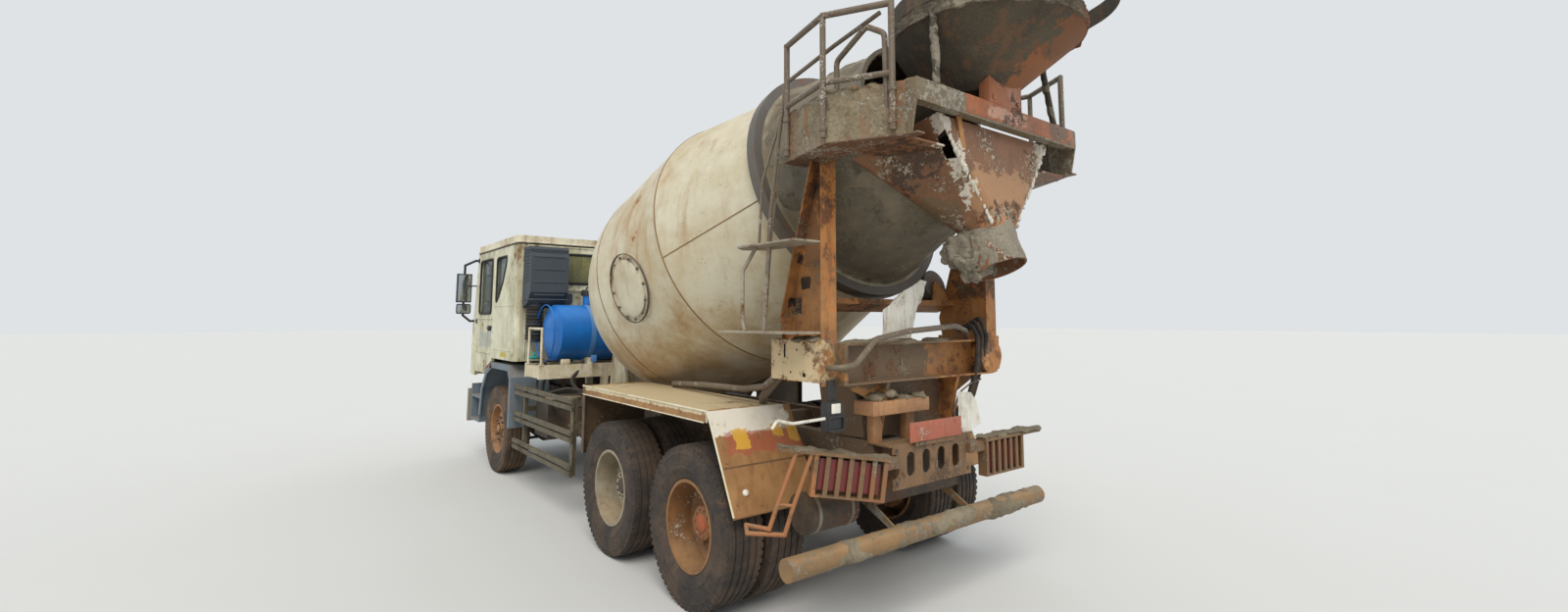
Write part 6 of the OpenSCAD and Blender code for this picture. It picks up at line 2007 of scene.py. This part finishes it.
@dataclass
class Tail(Assembly):
    """Caked ledges, blank plate, lamp on its arm, flap and debris of the tail, and the caked underrun pipe."""

    guard: Point = (-3.062, 0.52, 0.79)
    ledge: tuple[float, float, float] = (0.08, 0.685, 0.26)
    turn: Pair = (8.0, -26.0)
    sheet: tuple[Point, ...] = ((-0.012, -0.50, 0.004), (0.075, -0.49, 0.004), (0.10, -0.82, 0.010),
                                (0.055, -1.02, 0.012), (0.07, -1.215, 0.002), (-0.010, -1.20, 0.004),
                                (-0.030, -0.98, 0.010), (0.002, -0.78, 0.004))
    flap: tuple[Pair, ...] = ((-0.31, 1.385), (-0.46, 1.375), (-0.52, 1.30), (-0.56, 1.15), (-0.42, 1.10),
                              (-0.35, 1.10), (-0.31, 1.22))
    wire: tuple[Pair, ...] = ((-0.62, 1.452), (-0.50, 1.43), (-0.387, 1.383), (-0.32, 1.30), (-0.30, 1.20))
    bolt_spots: tuple[Pair, ...] = ((-0.36, 0.87), (0.36, 0.87), (-0.36, 1.07), (0.36, 1.07), (0, 1.075))
    lamp_arm: tuple[Point, ...] = ((-2.955, 1.285, 1.290), (-2.955, 1.25, 1.331), (-2.955, 1.14, 1.304),
                                   (-2.95, 0.89, 1.308))
    pipe_centre: Point = (-3.01, 0, 0.55)

    def make(self) -> None:
        """Build the tail's pieces."""
        self._ledges()
        self._plates()
        self._debris()
        self._lamp()
        self._underrun()

    def _ledges(self) -> None:
        """Cake both ledges, and lay the torn sheet on the right one."""
        deep, long, z = self.ledge
        left = Shape().block((-0.006, -0.018, z - 0.004), (deep - 0.010, long - 0.002, z + 0.008)).cut_fine(0.028)
        left.roughen(0.018, 9.0, 2.0)
        tilt, swing = (math.radians(a) for a in self.turn)
        left.moved(Matrix.Translation(self.guard) @ Matrix.Rotation(swing, 4, "Z") @ Matrix.Rotation(tilt, 4, "X"))
        self.add(left, "ledge_cake_left", "caked_ledge", like="tail_board", smooth=60.0)
        x, _, base = self.guard
        outline = [(x + dx, y, base + z + dz) for dx, y, dz in self.sheet]
        right = Shape().plate(outline, (0, 0, 0.006)).cut_fine(0.03).roughen(0.028, 6.5, 9.0)
        self.add(right, "ledge_cake_right", "caked_ledge", like="tail_board", smooth=60.0)

    def _plates(self) -> None:
        """Add the blank plate, the white flap and the bent wire beside it."""
        blank = Shape().block((-3.0475, -0.262, 1.108), (-3.0432, 0.262, 1.232), 0.0018)
        for y in (-0.2, 0.2):
            blank.drum((-3.048, y, 1.205), (-1, 0, 0), 0.009, 0.005, 6)
        self.add(blank, "blank_plate", "plate_red", like="tail_board")
        flap = Shape().plate([(-2.99, y, z) for y, z in self.flap], (0.004, 0, 0))
        flap.cut_fine(0.04).roughen(0.008, 4.0, 3.0)
        self.add(flap, "white_flap", "white_worn")
        self.add(Shape().pipe([(-2.96, y, z) for y, z in self.wire], 0.007, 6, 0.04), "bent_wire", "rail_brown")

    def _debris(self) -> None:
        """Add the box plate on its legs with debris on top, and the board's bolts."""
        box = Shape().block((-2.975, -0.02, 1.285), (-2.80, 0.515, 1.372), 0.006)
        for y in (0.05, 0.36):
            box.block((-2.90, y, 1.10), (-2.84, y + 0.08, 1.29), 0.005)
        self.add(box, "tail_box", "box_tan", like="tail_board")
        debris = Shape()
        for i in range(9):
            debris.lump((-2.90 + 0.03 * math.sin(i * 2.1), 0.44 - 0.05 * i, 1.385 + 0.022 * math.sin(i * 0.75)),
                        (0.060, 0.045, 0.030), 0.03, i * 1.3, 2)
        self.add(debris, "tail_debris", "caked_ledge", smooth=60.0)
        bolts = Shape()
        for y, z in self.bolt_spots:
            bolts.drum((-3.022, y, z), (-1, 0, 0), 0.012, 0.010, 6)
        self.add(bolts, "tail_bolts", "axle_dirt", like="tail_board")

    def _lamp(self) -> None:
        """Hang the small lamp and its bent arm beside the subframe."""
        self.add(Shape().pipe(self.lamp_arm, 0.009, 8, 0.02), "lamp_arm", "white_worn")
        housing = Shape().block((-2.975, 0.76, 1.225), (-2.905, 0.895, 1.40), 0.014)
        housing.block((-2.945, 0.80, 1.37), (-2.925, 0.86, 1.525), 0.004)
        housing.loop([(-2.98, y, z) for y, z in ((0.77, 1.235), (0.885, 1.235), (0.885, 1.315), (0.77, 1.315))],
                     0.007, 8, 0.015)
        self.add(housing, "lamp_housing", "black_plastic")
        self.add(Shape().block((-2.982, 0.795, 1.335), (-2.972, 0.865, 1.392), 0.005), "lamp_label", "white_worn")

    def _underrun(self) -> None:
        """Cake most of the underrun pipe."""
        stations = [-1.12 + 0.04 * i for i in range(54)]
        profile = [(0.0615, y) for y in stations] + [(0.050, y) for y in reversed(stations)]
        crust = Shape().lathe(profile + profile[:1], self.pipe_centre, (0, 1, 0), 40)
        crust.roughen(0.020, 5.0, 1.5).roughen(0.006, 24.0, 2.0)
        self.add(crust, "underrun_cake", "caked_ledge", like="underrun_bar", smooth=60.0)


@dataclass
class ChassisTrim(Assembly):
    """Bolts along the frame, and straps, bands and a cap on the tanks."""

    rail_y: float = 0.4265
    bolt_rows: Pair = (0.78, 0.94)
    bolts: tuple[float, float, int] = (-2.75, 0.285, 24)
    straps_x: Pair = (0.80, 1.62)
    strap: tuple[Pair, ...] = ((-1.062, 0.56), (-0.50, 0.56), (-0.50, 1.062), (-1.062, 1.062))
    band: tuple[Pair, ...] = ((0.0, -0.012), (0.006, -0.010), (0.006, 0.010), (0.0, 0.012), (0.0, -0.012))

    def make(self) -> None:
        """Build the pieces on both sides."""
        self._bolts()
        straps = Shape()
        for x in self.straps_x:
            straps.loop([(x, y, z) for y, z in self.strap], 0.009, 6, 0.09)
        straps.drum((1.20, -0.92, 1.062), (0, 0, 1), 0.055, 0.014, 24, 0.004)
        for x in (0.70, 1.02):
            for z in (0.70, 0.96):
                straps.lathe([(0.108 + r, t) for r, t in self.band], (x, 0.70, z), (1, 0, 0), 32)
        for y in (0.52, 0.79):
            straps.lathe([(0.123 + r, t) for r, t in self.band], (-2.67, y, 0.70), (0, 1, 0), 36)
        straps.block((1.43, 0.575, 1.008), (1.825, 1.03, 1.020), 0.004)
        self.add(straps, "tank_straps", "bumper_grey", like="side_tanks")

    def _bolts(self) -> None:
        """Set two rows of bolts along both frame rails."""
        start, step, count = self.bolts
        bolts = Shape()
        for side in Side:
            for i in range(count):
                for z in self.bolt_rows:
                    bolts.drum((start + i * step, side.value * self.rail_y, z), (0, side.value, 0), 0.013, 0.012, 6)
        self.add(bolts, "frame_bolts", "chassis_dark", like="chassis_frame")


def main() -> None:
    """Build the studio, the finishes and each sub-assembly in order."""
    logging.basicConfig(level=logging.INFO, format="%(message)s")
    bpy.context.scene.view_settings.view_transform = "Standard"
    Studio().build()
    finishes = Finishes().build()
    finishes.dress()
    for maker in SUB_ASSEMBLIES:
        for piece in maker(finishes).build():
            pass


SUB_ASSEMBLIES = (Tyres, Wheels, CabTrim, CabFront, Seats, Mirrors, Intake, WaterTank, SideSteps, Mudguards,
                  Drum, Stand, Hopper, Collector, Platform, Tail, ChassisTrim)

if __name__ == "__main__":
    main()
